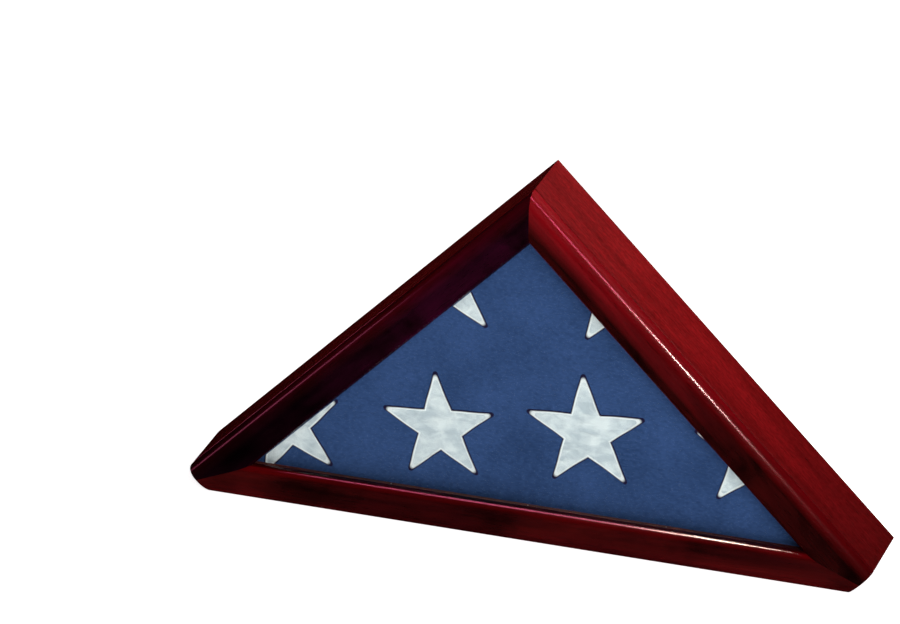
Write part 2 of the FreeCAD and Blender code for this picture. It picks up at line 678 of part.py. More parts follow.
def flag_stars():
    """Five-pointed stars on the flat of the flag's face, each cut off where the cloth folds away."""
    flat_inset = measure("Sizes.flag_fold_round")
    foot = measure(FLAG_FOOT) + flat_inset
    peak = measure(f"{FLAG_FOOT} + Sizes.flag_base / 2") - 2 ** 0.5 * flat_inset
    face = measure(FLAG_FRONT)
    thick = measure("Sizes.star_thickness")
    outer = measure("Sizes.star_radius")
    inner = outer * measure("sin(18 deg) / sin(54 deg)")
    lean = measure("Sizes.star_turn")
    up = FreeCAD.Vector(0, 0, 1)
    cloth_corners = [FreeCAD.Vector(foot - peak, face, foot), FreeCAD.Vector(peak - foot, face, foot),
                     FreeCAD.Vector(0, face, peak), FreeCAD.Vector(foot - peak, face, foot)]
    towards_glass = FreeCAD.Vector(0, -thick, 0)
    cloth = Part.Face(Part.makePolygon(cloth_corners)).extrude(towards_glass)
    stars = []
    for x, height in star_centres():
        centre = FreeCAD.Vector(measure(x), face, measure(height))
        points = []
        for corner in range(2 * STAR_POINTS):
            turn = FreeCAD.Rotation(FreeCAD.Vector(0, -1, 0), lean + 180 / STAR_POINTS * corner)
            points.append(centre + turn.multVec(up) * (inner if corner % 2 else outer))
        star = Part.Face(Part.makePolygon(points + points[:1])).extrude(towards_glass)
        stars += star.common(cloth).Solids
    group = doc.addObject("Part::Feature", "flag_stars")
    group.Label = "flag_stars"
    group.Shape = Part.makeCompound(stars)
    return group


def group_of(label, pieces):
    """Several like pieces kept as one named group of separate solids."""
    group = doc.addObject("Part::Compound", label)
    group.Label = label
    group.Links = pieces
    return group


SIDES = ("base", "left", "right")
subparts = [front_rail(side) for side in SIDES]
subparts += [wall(side) for side in SIDES]
subparts += [glazing_stop(side) for side in SIDES]
subparts += [cleat(side) for side in SIDES]
subparts.append(group_of("stop_brads", [stop_brads(side) for side in SIDES]))
subparts.append(mitre_keys())
subparts.append(peak_block())
subparts += [tip_block(side) for side in ("left", "right")]
subparts.append(disc("catch_magnet", f"{CLEAT_BACK} - Sizes.magnet_thickness", "Sizes.magnet_thickness"))

glass_edge = f"({RABBET_EDGE} + Sizes.glass_clearance)"
glass_top = f"({HALF} - sqrt(2) * {glass_edge} - Sizes.glass_nip / 2)"
subparts.append(slab("glass_pane", triangle(glass_edge, "Sizes.glass_nip", glass_top), GLASS_FRONT,
                     "Sizes.glass_thickness"))
subparts.append(folded_flag())
subparts.append(flag_stars())

subparts.append(back_panel())
felt_top = f"({BLOCK_FOOT} - Sizes.felt_margin)"
subparts.append(slab("felt_lining", triangle(FELT_EDGE, "Sizes.panel_nip", felt_top),
                     f"({PANEL_FRONT} - Sizes.felt_thickness)", "Sizes.felt_thickness"))
subparts.append(disc("strike_disc", PANEL_FRONT, "Sizes.strike_thickness"))
for hand_name, hand in (("left", "-1"), ("right", "1")):
    subparts.append(hinge_leaf(f"hinge_leaf_case_{hand_name}", hand, "-1"))
    subparts.append(hinge_leaf(f"hinge_leaf_panel_{hand_name}", hand, "1"))
    subparts.append(hinge_pin(f"hinge_pin_{hand_name}", hand))
subparts.append(hinge_screws("hinge_screws_case", "-1", "Sizes.case_screw_length"))
subparts.append(hinge_screws("hinge_screws_panel", "1", "Sizes.panel_screw_length"))
doc.recompute()

for item in doc.Objects:
    if "Invalid" in item.State or "Error" in item.State:
        raise RuntimeError(f"{item.Label}: {item.State}")
for piece in subparts:
    if piece.Shape.isNull() or not piece.Shape.isValid() or not piece.Shape.Solids:
        raise RuntimeError(f"{piece.Label}: no valid solid")

os.makedirs("parts", exist_ok=True)
for piece in subparts:
    piece.Shape.exportStep(f"parts/{piece.Label}.step")
    print(f"{piece.Label}: {len(piece.Shape.Solids)} solid(s), {piece.Shape.Volume / 1000:.2f} cm3")
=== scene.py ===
# %% [markdown]
# A folded flag display case, dressed for a photograph.
# The wooden case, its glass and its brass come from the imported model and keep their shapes. This lesson
# gives them their finishes, and makes the soft things new: the folded flag, its stars and the felt.

# %% Load the case
import math
from math import cos, pi, radians, sin, sqrt, tan

import bmesh
import bpy
import numpy as np
from mathutils import Matrix, Vector


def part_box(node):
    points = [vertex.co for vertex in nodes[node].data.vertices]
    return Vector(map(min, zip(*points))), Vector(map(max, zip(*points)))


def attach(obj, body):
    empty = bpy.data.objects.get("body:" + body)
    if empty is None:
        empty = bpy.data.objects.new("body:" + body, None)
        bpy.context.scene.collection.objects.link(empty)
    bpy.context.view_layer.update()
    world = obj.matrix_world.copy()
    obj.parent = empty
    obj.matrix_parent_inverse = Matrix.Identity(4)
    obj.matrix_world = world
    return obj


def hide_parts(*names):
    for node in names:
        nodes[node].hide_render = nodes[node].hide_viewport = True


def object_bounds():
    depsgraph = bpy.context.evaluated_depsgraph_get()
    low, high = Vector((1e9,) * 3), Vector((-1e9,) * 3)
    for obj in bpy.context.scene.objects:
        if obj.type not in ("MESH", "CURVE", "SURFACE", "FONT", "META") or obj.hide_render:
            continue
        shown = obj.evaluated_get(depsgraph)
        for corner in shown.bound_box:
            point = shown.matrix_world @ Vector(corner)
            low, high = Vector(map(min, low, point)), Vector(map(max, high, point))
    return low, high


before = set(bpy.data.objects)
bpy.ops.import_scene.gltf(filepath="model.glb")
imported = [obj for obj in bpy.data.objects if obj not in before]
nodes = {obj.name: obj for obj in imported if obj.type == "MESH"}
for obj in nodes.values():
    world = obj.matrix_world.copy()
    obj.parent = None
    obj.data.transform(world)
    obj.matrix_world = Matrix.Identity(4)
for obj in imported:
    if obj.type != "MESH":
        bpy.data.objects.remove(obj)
cad_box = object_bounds()
scene = bpy.context.scene
MM = 0.001
print("case loaded:", len(nodes), "pieces, box", [tuple(round(v, 4) for v in corner) for corner in cad_box])

# %% [markdown]
# A few small tools serve every material. Colours are picked as sRGB hex values, as a paint chart gives them,
# and Blender wants them linear. A material is a tree of nodes, so one function adds a node, sets it and
# links it.

# %% Tools for materials


def linear(hex_colour):
    """An sRGB hex colour as the linear RGBA that shaders take, by the curve of the sRGB standard."""
    channels = [int(hex_colour[i:i + 2], 16) / 255 for i in (1, 3, 5)]
    return [c / 12.92 if c <= 0.04045 else ((c + 0.055) / 1.055) ** 2.4 for c in channels] + [1.0]


def add_node(tree, kind, inputs=None, **settings):
    """Add one node. inputs gives sockets by name or number: a socket is linked, a plain value is set."""
    made = tree.nodes.new("ShaderNode" + kind)
    for name, value in settings.items():
        setattr(made, name, value)
    for name, value in (inputs or {}).items():
        if isinstance(value, bpy.types.NodeSocket):
            tree.links.new(value, made.inputs[name])
        else:
            made.inputs[name].default_value = value
    return made


def new_material(name):
    """An empty material with its output, ready for a shader."""
    material = bpy.data.materials.new(name)
    material.use_nodes = True
    material.node_tree.nodes.clear()
    output = add_node(material.node_tree, "OutputMaterial")
    return material, material.node_tree, output


def dress(piece, material):
    """Give a piece one material."""
    piece.data.materials.clear()
    piece.data.materials.append(material)


# The Mix node keeps a set of sockets for each kind of value. These are its colour sockets, and the two ways
# in which colours are mixed here: one over the other, or one times the other.
MIX_FACTOR, MIX_A, MIX_B, MIX_OUT = 0, 6, 7, 2
BLEND = {"data_type": "RGBA"}
TIMES = {"data_type": "RGBA", "blend_type": "MULTIPLY"}
print("tools ready")

# %% [markdown]
# The camera stands where the photographer stood: to the right of the case and above it, far away with a
# long lens, so that edges stay almost parallel. Its angles and distance were found by fitting the case's
# corners to the picture.

# %% Camera
CAMERA_AZIMUTH = radians(17.94)
CAMERA_ELEVATION = radians(25.04)
CAMERA_ROLL = radians(0.77)
CAMERA_DISTANCE = 5.707
CAMERA_AIM = Vector((-0.0662, -0.0400, 0.2034))
CAMERA_LENS_MM = 277.8
CAMERA_SENSOR_MM = 36
CAMERA_FAR_END = 100

towards_camera = Vector((sin(CAMERA_AZIMUTH) * cos(CAMERA_ELEVATION),
                         -cos(CAMERA_AZIMUTH) * cos(CAMERA_ELEVATION),
                         sin(CAMERA_ELEVATION)))
level_right = Vector((cos(CAMERA_AZIMUTH), sin(CAMERA_AZIMUTH), 0))
level_up = towards_camera.cross(level_right)
camera_right = level_right * cos(CAMERA_ROLL) + level_up * sin(CAMERA_ROLL)
camera_up = level_up * cos(CAMERA_ROLL) - level_right * sin(CAMERA_ROLL)
camera = bpy.data.objects.new("camera", bpy.data.cameras.new("camera"))
scene.collection.objects.link(camera)
turn = Matrix((camera_right, camera_up, towards_camera)).transposed().to_4x4()
camera.matrix_world = Matrix.Translation(CAMERA_AIM + towards_camera * CAMERA_DISTANCE) @ turn
camera.data.lens = CAMERA_LENS_MM
camera.data.sensor_width = CAMERA_SENSOR_MM
camera.data.clip_end = CAMERA_FAR_END
scene.camera = camera
print("camera at", tuple(round(v, 3) for v in camera.matrix_world.translation))

# %% [markdown]
# Boards are sawn along the grain, so every pattern in wood is stretched along its own board. Coordinates
# that turn with each board let one recipe serve the base and both legs.

# %% Grain
BOARD_TURN = {"base": 0, "left": radians(45), "right": radians(-45)}
FIGURE_LENGTH_MM, FIGURE_WIDTH_MM = 170, 26
FIGURE_SPREAD = (0.32, 0.68)
LINE_LENGTH_MM, LINE_WIDTH_MM = 60, 2.2


def grain_space(tree, side):
    """Coordinates in millimetres that run along the board, with X along the grain."""
    place = add_node(tree, "TexCoord").outputs["Object"]
    return add_node(tree, "Mapping", {"Vector": place, "Rotation": (0, BOARD_TURN[side], 0),
                                      "Scale": (1 / MM, 1 / MM, 1 / MM)}).outputs["Vector"]


def height_on_case(tree):
    """Height above the table, in metres."""
    place = add_node(tree, "TexCoord").outputs["Object"]
    return add_node(tree, "SeparateXYZ", {0: place}).outputs["Z"]


def stretched_noise(tree, space, length, width, detail=3.0, distortion=0.0):
    """Soft noise drawn out along the grain, as a value from 0 to 1."""
    per_mm = (1 / length, 1 / width, 1 / width)
    drawn = add_node(tree, "VectorMath", {0: space, 1: per_mm}, operation="MULTIPLY")
    noise = add_node(tree, "TexNoise", {"Vector": drawn.outputs["Vector"], "Scale": 1.0, "Detail": detail,
                                        "Roughness": 0.55, "Distortion": distortion})
    return noise.outputs["Fac"]


def shade(tree, colour, pattern, spread, shades):
    """Darken and lighten a colour by a pattern: the pattern's spread of values becomes a range of shades."""
    amount = add_node(tree, "MapRange", {"Value": pattern, "From Min": spread[0], "From Max": spread[1],
                                         "To Min": shades[0], "To Max": shades[1]}).outputs["Result"]
    return add_node(tree, "Mix", {MIX_FACTOR: 1.0, MIX_A: colour, MIX_B: amount}, **TIMES).outputs[MIX_OUT]


def two_tone(tree, pattern, spread, dark, light):
    """Two colours mixed by a pattern, whose spread of values runs from the one to the other."""
    share = add_node(tree, "MapRange", {"Value": pattern, "From Min": spread[0], "From Max": spread[1]})
    return add_node(tree, "Mix", {MIX_FACTOR: share.outputs["Result"], MIX_A: linear(dark),
                                  MIX_B: linear(light)}, **BLEND).outputs[MIX_OUT]


print("grain runs along the", ", ".join(BOARD_TURN))

# %% [markdown]
# The moulding's colour holds painted light and shade. Its front is painted nearly black, as the shade
# that falls on it, and the edges that catch the light are painted a lit red. The stain is also darkened in
# uneven clouds at random. To the eye the front of the frame is nearly black, with red at its edges.

# %% Painted light and shade on the moulding
# Painted light: the lit red of the moulding's edges, where the light catches them.
RAIL_PAINTED_LIT_RED = ("#6A0309", "#8A0510")
RAIL_WIDTH_MM = 32
CLOUD_LENGTH_MM, CLOUD_WIDTH_MM = 75, 34
# Each row gives how much painted shade lies at a distance across the moulding from its outer edge, in
# millimetres. Where it is thin, the painted lit red shows.
PAINTED_SHADE_ACROSS = {"base": ((0, 0.88), (12, 0.92), (20, 1.0), (27, 0.94), (30.6, 0.5), (31.6, 1.0)),
                "left": ((0, 0.7), (7, 0.9), (14, 1.0)),
                "right": ((0, 0.0), (8, 0.1), (22, 1.0), (28, 1.0), (31, 0.75))}
# On the right leg the painted shade also deepens on the way down from the peak, between these heights, as
# the light falls off. It stays lighter on the outer quarter of the width.
SHADE_HIGH_MM, SHADE_LOW_MM = 300, 110
LIGHTER_EDGE_SHARE, EDGE_SHADE_SHARE = 0.25, 0.45
leg_edge_mm = cad_box[1].z / MM / sqrt(2)


def painted_shade_amount(tree, space, side):
    """How much painted shade lies on the moulding of one side, from 0 to 1."""
    across = add_node(tree, "SeparateXYZ", {0: space}).outputs["Z"]
    outer, inner = (0, RAIL_WIDTH_MM) if side == "base" else (leg_edge_mm, leg_edge_mm - RAIL_WIDTH_MM)
    width_range = {"Value": across, "From Min": outer, "From Max": inner}
    width_share = add_node(tree, "MapRange", width_range).outputs["Result"]
    profile = add_node(tree, "ValToRGB", {"Fac": width_share})
    stops = profile.color_ramp.elements
    while len(stops) < len(PAINTED_SHADE_ACROSS[side]):
        stops.new(0.5)
    for stop, (place, amount) in zip(stops, PAINTED_SHADE_ACROSS[side]):
        stop.position = place / RAIL_WIDTH_MM
        stop.color = (amount, amount, amount, 1)
    shading = profile.outputs["Color"]
    # Painted shade: the right leg's front darkens on the way down from the peak, as the light falls off.
    if side == "right":
        lower = add_node(tree, "MapRange", {"Value": height_on_case(tree), "From Min": SHADE_HIGH_MM * MM,
                                            "From Max": SHADE_LOW_MM * MM}).outputs["Result"]
        past_edge = add_node(tree, "MapRange", {"Value": width_share, "From Max": LIGHTER_EDGE_SHARE,
                                                "To Min": EDGE_SHADE_SHARE}).outputs["Result"]
        lower = add_node(tree, "Math", {0: lower, 1: past_edge}, operation="MULTIPLY").outputs["Value"]
        shading = add_node(tree, "Math", {0: shading, 1: lower}, operation="MAXIMUM").outputs["Value"]
    return shading


def stain_with_painted_light(tree, space, side, stain, figure):
    """The stain in random clouds, under painted shade, with a painted lit red where the shade is thin."""
    clouds = stretched_noise(tree, space, CLOUD_LENGTH_MM, CLOUD_WIDTH_MM, distortion=0.5)
    clouded = shade(tree, stain, clouds, spread=(0.38, 0.56), shades=(0.25, 1.15))
    # Painted light: the lit red along the edges.
    lit_red = two_tone(tree, figure, FIGURE_SPREAD, *RAIL_PAINTED_LIT_RED)
    shading = painted_shade_amount(tree, space, side)
    return add_node(tree, "Mix", {MIX_FACTOR: shading, MIX_A: lit_red, MIX_B: clouded}, **BLEND).outputs[MIX_OUT]


print("toner rows:", {side: len(rows) for side, rows in PAINTED_SHADE_ACROSS.items()})

# %% [markdown]
# Cherry-stained hardwood under a glossy lacquer. The grain gives broad light and dark figure, fine lines a
# millimetre or so apart, and short dark pores. The lacquer is a separate smooth layer on top, which makes
# the long highlights on the rounded edges. The wood under it gives no reflection of its own, so its red
# stays deep.

# %% Lacquered cherry
# The sides are lit and shaded copies of one stain: the left leg's is painted darker and more purple, as
# shade, and the right leg's a little darker than the base's, also as painted shade.
RAIL_STAIN_AND_SHADE = {"base": ("#140002", "#3C0303"),
              "left": ("#060003", "#280014"),
              "right": ("#0E0001", "#360202")}
WALL_STAIN = ("#640A0C", "#7C0F12")
RAIL_COAT, WALL_COAT, KEY_COAT = 0.20, 0.20, 0.16
# Real pores are a tenth of a millimetre wide. These are drawn coarser, so that the render can show them.
PORE_LENGTH_MM, PORE_WIDTH_MM = 9, 0.8
LACQUER_WAVE_MM = 7
# The broad boards of the walls took the stain unevenly, in small flecks among the grain.
FLECK_LENGTH_MM, FLECK_WIDTH_MM = 5, 2.6
# The low ends of the legs are painted darker, as shade where the light falls off. Each row gives the
# heights between which a board darkens on the way down, in millimetres, and the share of its colour that
# is left there.
WALL_LOW_END_SHADE = {"left": (190, 15, 0.55), "right": (190, 15, 0.55)}
RAIL_LOW_END_SHADE = {"left": (170, 60, 0.3), "right": (120, 20, 0.55)}


def stained_cherry(name, side, dark, light, coat_roughness, paints_light=False):
    """Stained hardwood with its grain along one side of the case, under a clear lacquer. The moulding
    carries painted light and shade, and the boards behind it are flecked."""
    material, tree, output = new_material(name)
    space = grain_space(tree, side)
    figure = stretched_noise(tree, space, FIGURE_LENGTH_MM, FIGURE_WIDTH_MM, distortion=0.6)
    lines = stretched_noise(tree, space, LINE_LENGTH_MM, LINE_WIDTH_MM, detail=2.0)
    pores = stretched_noise(tree, space, PORE_LENGTH_MM, PORE_WIDTH_MM, detail=1.0)
    waves = stretched_noise(tree, space, LACQUER_WAVE_MM, LACQUER_WAVE_MM, detail=1.0)
    colour = two_tone(tree, figure, FIGURE_SPREAD, dark, light)
    if paints_light:
        colour = stain_with_painted_light(tree, space, side, colour, figure)
    else:
        flecks = stretched_noise(tree, space, FLECK_LENGTH_MM, FLECK_WIDTH_MM, distortion=0.5)
        colour = shade(tree, colour, flecks, spread=(0.33, 0.67), shades=(0.78, 1.16))
    # Painted shade: the legs darken towards their low ends.
    if side != "base":
        high, low, share_left = (RAIL_LOW_END_SHADE if paints_light else WALL_LOW_END_SHADE)[side]
        colour = shade(tree, colour, height_on_case(tree), (low * MM, high * MM), shades=(share_left, 1.0))
    colour = shade(tree, colour, lines, spread=(0.3, 0.65), shades=(0.82, 1.06))
    pore_shade = add_node(tree, "MapRange", {"Value": pores, "From Min": 0.62, "From Max": 0.72,
                                             "To Min": 1.0, "To Max": 0.55}).outputs["Result"]
    pored = add_node(tree, "Mix", {MIX_FACTOR: 1.0, MIX_A: colour, MIX_B: pore_shade}, **TIMES)
    roughness = add_node(tree, "MapRange", {"Value": lines, "To Min": 0.38, "To Max": 0.52})
    grain_bump = add_node(tree, "Bump", {"Height": pore_shade, "Strength": 0.12, "Distance": 0.1 * MM})
    lacquer_bump = add_node(tree, "Bump", {"Height": waves, "Strength": 0.05, "Distance": 0.08 * MM})
    shader = add_node(tree, "BsdfPrincipled", {
        "Base Color": pored.outputs[MIX_OUT], "Roughness": roughness.outputs["Result"],
        "Normal": grain_bump.outputs["Normal"], "Specular IOR Level": 0.0,
        "Coat Weight": 0.6, "Coat Roughness": coat_roughness, "Coat IOR": 1.40,
        "Coat Normal": lacquer_bump.outputs["Normal"]})
    tree.links.new(shader.outputs["BSDF"], output.inputs["Surface"])
    return material


for side in BOARD_TURN:
    dress(nodes[f"front_rail_{side}"],
          stained_cherry(f"lacquered_cherry_rail_{side}", side, *RAIL_STAIN_AND_SHADE[side], RAIL_COAT, paints_light=True))
    dress(nodes[f"wall_{side}"],
          stained_cherry(f"lacquered_cherry_wall_{side}", side, *WALL_STAIN, WALL_COAT))
dress(nodes["mitre_keys"], stained_cherry("lacquered_cherry_keys", "base", *WALL_STAIN, KEY_COAT))
print("cherry finish on", 2 * len(BOARD_TURN) + 1, "pieces")

# %% [markdown]
# Inside the case the wood is stained but not lacquered, so it has the same grain with a dull skin. The back
# is thin plywood: its faces show one veneer, and its sawn edges show the plies as stripes.

# %% Dull wood and plywood
INSIDE_DARK, INSIDE_LIGHT = "#2A0D0A", "#54211A"
DULL_SPREAD = (0.14, 0.36)
PLY_DARK, PLY_LIGHT = "#4A1512", "#7A2C22"
PLY_EDGE_DARK, PLY_EDGE_LIGHT = "#5E2A1C", "#A5713F"
PLY_COUNT = 5
PLY_LINE_SPREAD = (-0.25, 0.25)
# A face of the panel looks this much along its thickness, or more. The rest are edges.
FACE_LOOK = 0.7
panel_low, panel_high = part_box("back_panel")
panel_thickness_mm = (panel_high.y - panel_low.y) / MM


def with_ply_edges(tree, space, veneer):
    """The veneer's colour on the faces of the panel, and stripes of plies on its edges."""
    depth = add_node(tree, "SeparateXYZ", {0: space}).outputs["Y"]
    per_mm = PLY_COUNT * pi / panel_thickness_mm
    turns = add_node(tree, "Math", {0: depth, 1: per_mm}, operation="MULTIPLY")
    wave = add_node(tree, "Math", {0: turns.outputs["Value"]}, operation="SINE")
    plies = two_tone(tree, wave.outputs["Value"], PLY_LINE_SPREAD, PLY_EDGE_DARK, PLY_EDGE_LIGHT)
    facing = add_node(tree, "SeparateXYZ", {0: add_node(tree, "TexCoord").outputs["Normal"]})
    flatness = add_node(tree, "Math", {0: facing.outputs["Y"]}, operation="ABSOLUTE")
    on_face = add_node(tree, "Math", {0: flatness.outputs["Value"], 1: FACE_LOOK}, operation="GREATER_THAN")
    return add_node(tree, "Mix", {MIX_FACTOR: on_face.outputs["Value"], MIX_A: plies, MIX_B: veneer},
                    **BLEND).outputs[MIX_OUT]


def dull_wood(name, side, dark, light, ply_edges=False):
    """Stained wood with no lacquer."""
    material, tree, output = new_material(name)
    space = grain_space(tree, side)
    figure = stretched_noise(tree, space, FIGURE_LENGTH_MM, FIGURE_WIDTH_MM, detail=4.0, distortion=0.8)
    lines = stretched_noise(tree, space, LINE_LENGTH_MM, LINE_WIDTH_MM, detail=2.0)
    share = add_node(tree, "Math", {0: figure, 1: lines}, operation="MULTIPLY")
    colour = two_tone(tree, share.outputs["Value"], DULL_SPREAD, dark, light)
    if ply_edges:
        colour = with_ply_edges(tree, space, colour)
    roughness = add_node(tree, "MapRange", {"Value": lines, "To Min": 0.5, "To Max": 0.75})
    bump = add_node(tree, "Bump", {"Height": lines, "Strength": 0.25, "Distance": 0.2 * MM})
    shader = add_node(tree, "BsdfPrincipled", {
        "Base Color": colour, "Roughness": roughness.outputs["Result"],
        "Normal": bump.outputs["Normal"], "Specular IOR Level": 0.3})
    tree.links.new(shader.outputs["BSDF"], output.inputs["Surface"])
    return material


for side in BOARD_TURN:
    strip = dull_wood(f"stained_strip_{side}", side, INSIDE_DARK, INSIDE_LIGHT)
    dress(nodes[f"glazing_stop_{side}"], strip)
    dress(nodes[f"cleat_{side}"], strip)
block_wood = dull_wood("stained_glue_block", "base", INSIDE_DARK, INSIDE_LIGHT)
for name in ("peak_block", "tip_block_left", "tip_block_right"):
    dress(nodes[name], block_wood)
dress(nodes["back_panel"], dull_wood("stained_plywood", "base", PLY_DARK, PLY_LIGHT, ply_edges=True))
print("dull wood on the strips, blocks and back")

# %% [markdown]
# Rolled brass for the hinges, plain steel for the brads and the strike disc, bright nickel for the magnet.
# A metal's colour is in its reflection, so it needs no coat: fine scratches one way, and a little tarnish,
# are enough.

# %% Metals
# Real scratches are hair-thin. These are drawn coarser, so that the render can show them.
SCRATCH_LENGTH_MM, SCRATCH_WIDTH_MM = 14, 0.5
TARNISH_MM, TARNISH_SPREAD = 9, (0.45, 0.75)


def rolled_metal(name, bright, tarnished, smooth, rough):
    """Sheet or wire metal with fine scratches along the hinge and patches of tarnish."""
    material, tree, output = new_material(name)
    space = grain_space(tree, "base")
    scratches = stretched_noise(tree, space, SCRATCH_LENGTH_MM, SCRATCH_WIDTH_MM, detail=2.0)
    patches = stretched_noise(tree, space, TARNISH_MM, TARNISH_MM)
    colour = two_tone(tree, patches, TARNISH_SPREAD, bright, tarnished)
    roughness = add_node(tree, "MapRange", {"Value": scratches, "To Min": smooth, "To Max": rough})
    bump = add_node(tree, "Bump", {"Height": scratches, "Strength": 0.08, "Distance": 0.05 * MM})
    shader = add_node(tree, "BsdfPrincipled", {
        "Base Color": colour, "Metallic": 1.0,
        "Roughness": roughness.outputs["Result"], "Normal": bump.outputs["Normal"]})
    tree.links.new(shader.outputs["BSDF"], output.inputs["Surface"])
    return material


brass = rolled_metal("rolled_brass", "#D9B45C", "#8F6A2C", smooth=0.18, rough=0.38)
steel = rolled_metal("bright_steel", "#B9BBBD", "#7F8082", smooth=0.25, rough=0.45)
nickel = rolled_metal("nickel_plate", "#CFCBC2", "#A9A59B", smooth=0.10, rough=0.22)
metal_pieces = {name: brass for name in nodes if name.startswith("hinge")}
metal_pieces.update(stop_brads=steel, strike_disc=steel, catch_magnet=nickel)
for name, metal in metal_pieces.items():
    dress(nodes[name], metal)
print("metal on", len(metal_pieces), "pieces")

# %% [markdown]
# Window glass. The lamps have to reach the flag behind it, and the flag's own light has to come out
# untinted, so the pane casts no shadow and is left out of light that bounces between dull surfaces. A trace
# of dust makes its roughness uneven, which softens what it mirrors. To the eye it is clear.

# %% Glass
GLASS_TINT = "#F6FAF8"
DUST_MM = 40

glass, tree, output = new_material("float_glass")
dust = stretched_noise(tree, grain_space(tree, "base"), DUST_MM, DUST_MM, detail=4.0)
dust_roughness = add_node(tree, "MapRange", {"Value": dust, "To Min": 0.0, "To Max": 0.06})
shader = add_node(tree, "BsdfPrincipled", {
    "Base Color": linear(GLASS_TINT), "Transmission Weight": 1.0,
    "Roughness": dust_roughness.outputs["Result"], "IOR": 1.45})
tree.links.new(shader.outputs["BSDF"], output.inputs["Surface"])
dress(nodes["glass_pane"], glass)
nodes["glass_pane"].visible_shadow = False
nodes["glass_pane"].visible_diffuse = False
print("glass pane dressed")

# %% [markdown]
# The flag is one sheet of cotton, 5 ft by 9.5 ft. It is folded twice along its length, which makes a strip
# of four layers, and the strip is then rolled up in triangles, over the long side and one short side in
# turn, thirteen times. First comes the outline of that triangle, with rounded corners, at any distance in
# from the edge of the bundle.

# %% Outline of the bundle
FLAG_BASE = 0.538
FLAG_TIP_ROUND, FLAG_PEAK_ROUND, LEAST_ROUND = 14 * MM, 12 * MM, 1.5 * MM
SIDE_STEPS, LEG_STEPS, CORNER_STEPS = 84, 60, 8

flag_low, flag_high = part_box("folded_flag")
flag_middle = (flag_low.y + flag_high.y) / 2
inradius = FLAG_BASE * (sqrt(2) - 1) / 2
flag_corners = [np.array((FLAG_BASE / 2, flag_low.z)), np.array((-FLAG_BASE / 2, flag_low.z)),
                np.array((0, flag_low.z + FLAG_BASE / 2))]
incentre = np.array((0, flag_low.z + inradius))


def corner_arc(before, corner, after, radius):
    """Points of the round that replaces a corner, from the side before it to the side after it."""
    to_before = (before - corner) / np.linalg.norm(before - corner)
    to_after = (after - corner) / np.linalg.norm(after - corner)
    half = math.acos(np.clip(to_before @ to_after, -1, 1)) / 2
    bisector = (to_before + to_after) / np.linalg.norm(to_before + to_after)
    centre = corner + bisector * radius / sin(half)
    start = corner + to_before * radius / tan(half) - centre
    end = corner + to_after * radius / tan(half) - centre
    share = np.linspace(0, 1, CORNER_STEPS + 1)[:, None]
    spread = np.arccos(np.clip(start @ end / radius ** 2, -1, 1))
    return centre + (np.sin((1 - share) * spread) * start + np.sin(share * spread) * end) / np.sin(spread)


def flag_outline(inset):
    """The triangle's outline, inset from the flag's edge: base from right to left, left tip, left leg, peak,
    right leg, right tip. The number of points is the same for any inset."""
    right, left, peak = [incentre + (c - incentre) * (1 - inset / inradius) for c in flag_corners]
    tip_radius = max(FLAG_TIP_ROUND - inset, LEAST_ROUND)
    peak_radius = max(FLAG_PEAK_ROUND - inset, LEAST_ROUND)
    right_arc = corner_arc(peak, right, left, tip_radius)
    left_arc = corner_arc(right, left, peak, tip_radius)
    peak_arc = corner_arc(left, peak, right, peak_radius)
    runs = []
    for start, end, steps, arc in ((right_arc[-1], left_arc[0], SIDE_STEPS, left_arc),
                                   (left_arc[-1], peak_arc[0], LEG_STEPS, peak_arc),
                                   (peak_arc[-1], right_arc[0], LEG_STEPS, right_arc)):
        share = np.linspace(0, 1, steps + 1)[:-1, None]
        runs += [start + share * (end - start), arc[:-1]]
    return np.concatenate(runs)


outline_points = len(flag_outline(0))
# The strip bends round the base and the left leg. Past the peak the layers are open.
wrapped_points = SIDE_STEPS + CORNER_STEPS + LEG_STEPS
print("outline of", outline_points, "points, the first", wrapped_points, "wrapped")

# %% [markdown]
# Cloth is never flat. Gentle waves in three directions and small puckers push its face back by up to about
# a millimetre. The meshes of the flag, the stars and the felt are all built up from rows of points, with
# quads between one row and the next.

# %% Cloth
# Each wave has its radians per metre along X and along Z, and where it starts.
SLOW_WAVES = ((21, 13, 0.4), (-17, 29, 1.9), (37, 6, 4.1))
PUCKERS = ((83, -61, 2.2), (49, 97, 0.7))
WAVE_DEPTH, PUCKER_DEPTH = 0.17 * MM, 0.10 * MM


def cloth_wave(x, z):
    """How far the cloth lies behind its flat face."""
    slow = sum(np.sin(along_x * x + along_z * z + start) for along_x, along_z, start in SLOW_WAVES)
    fast = math.prod(np.sin(along_x * x + along_z * z + start) for along_x, along_z, start in PUCKERS)
    return WAVE_DEPTH * (len(SLOW_WAVES) + slow) + PUCKER_DEPTH * (1 + fast)


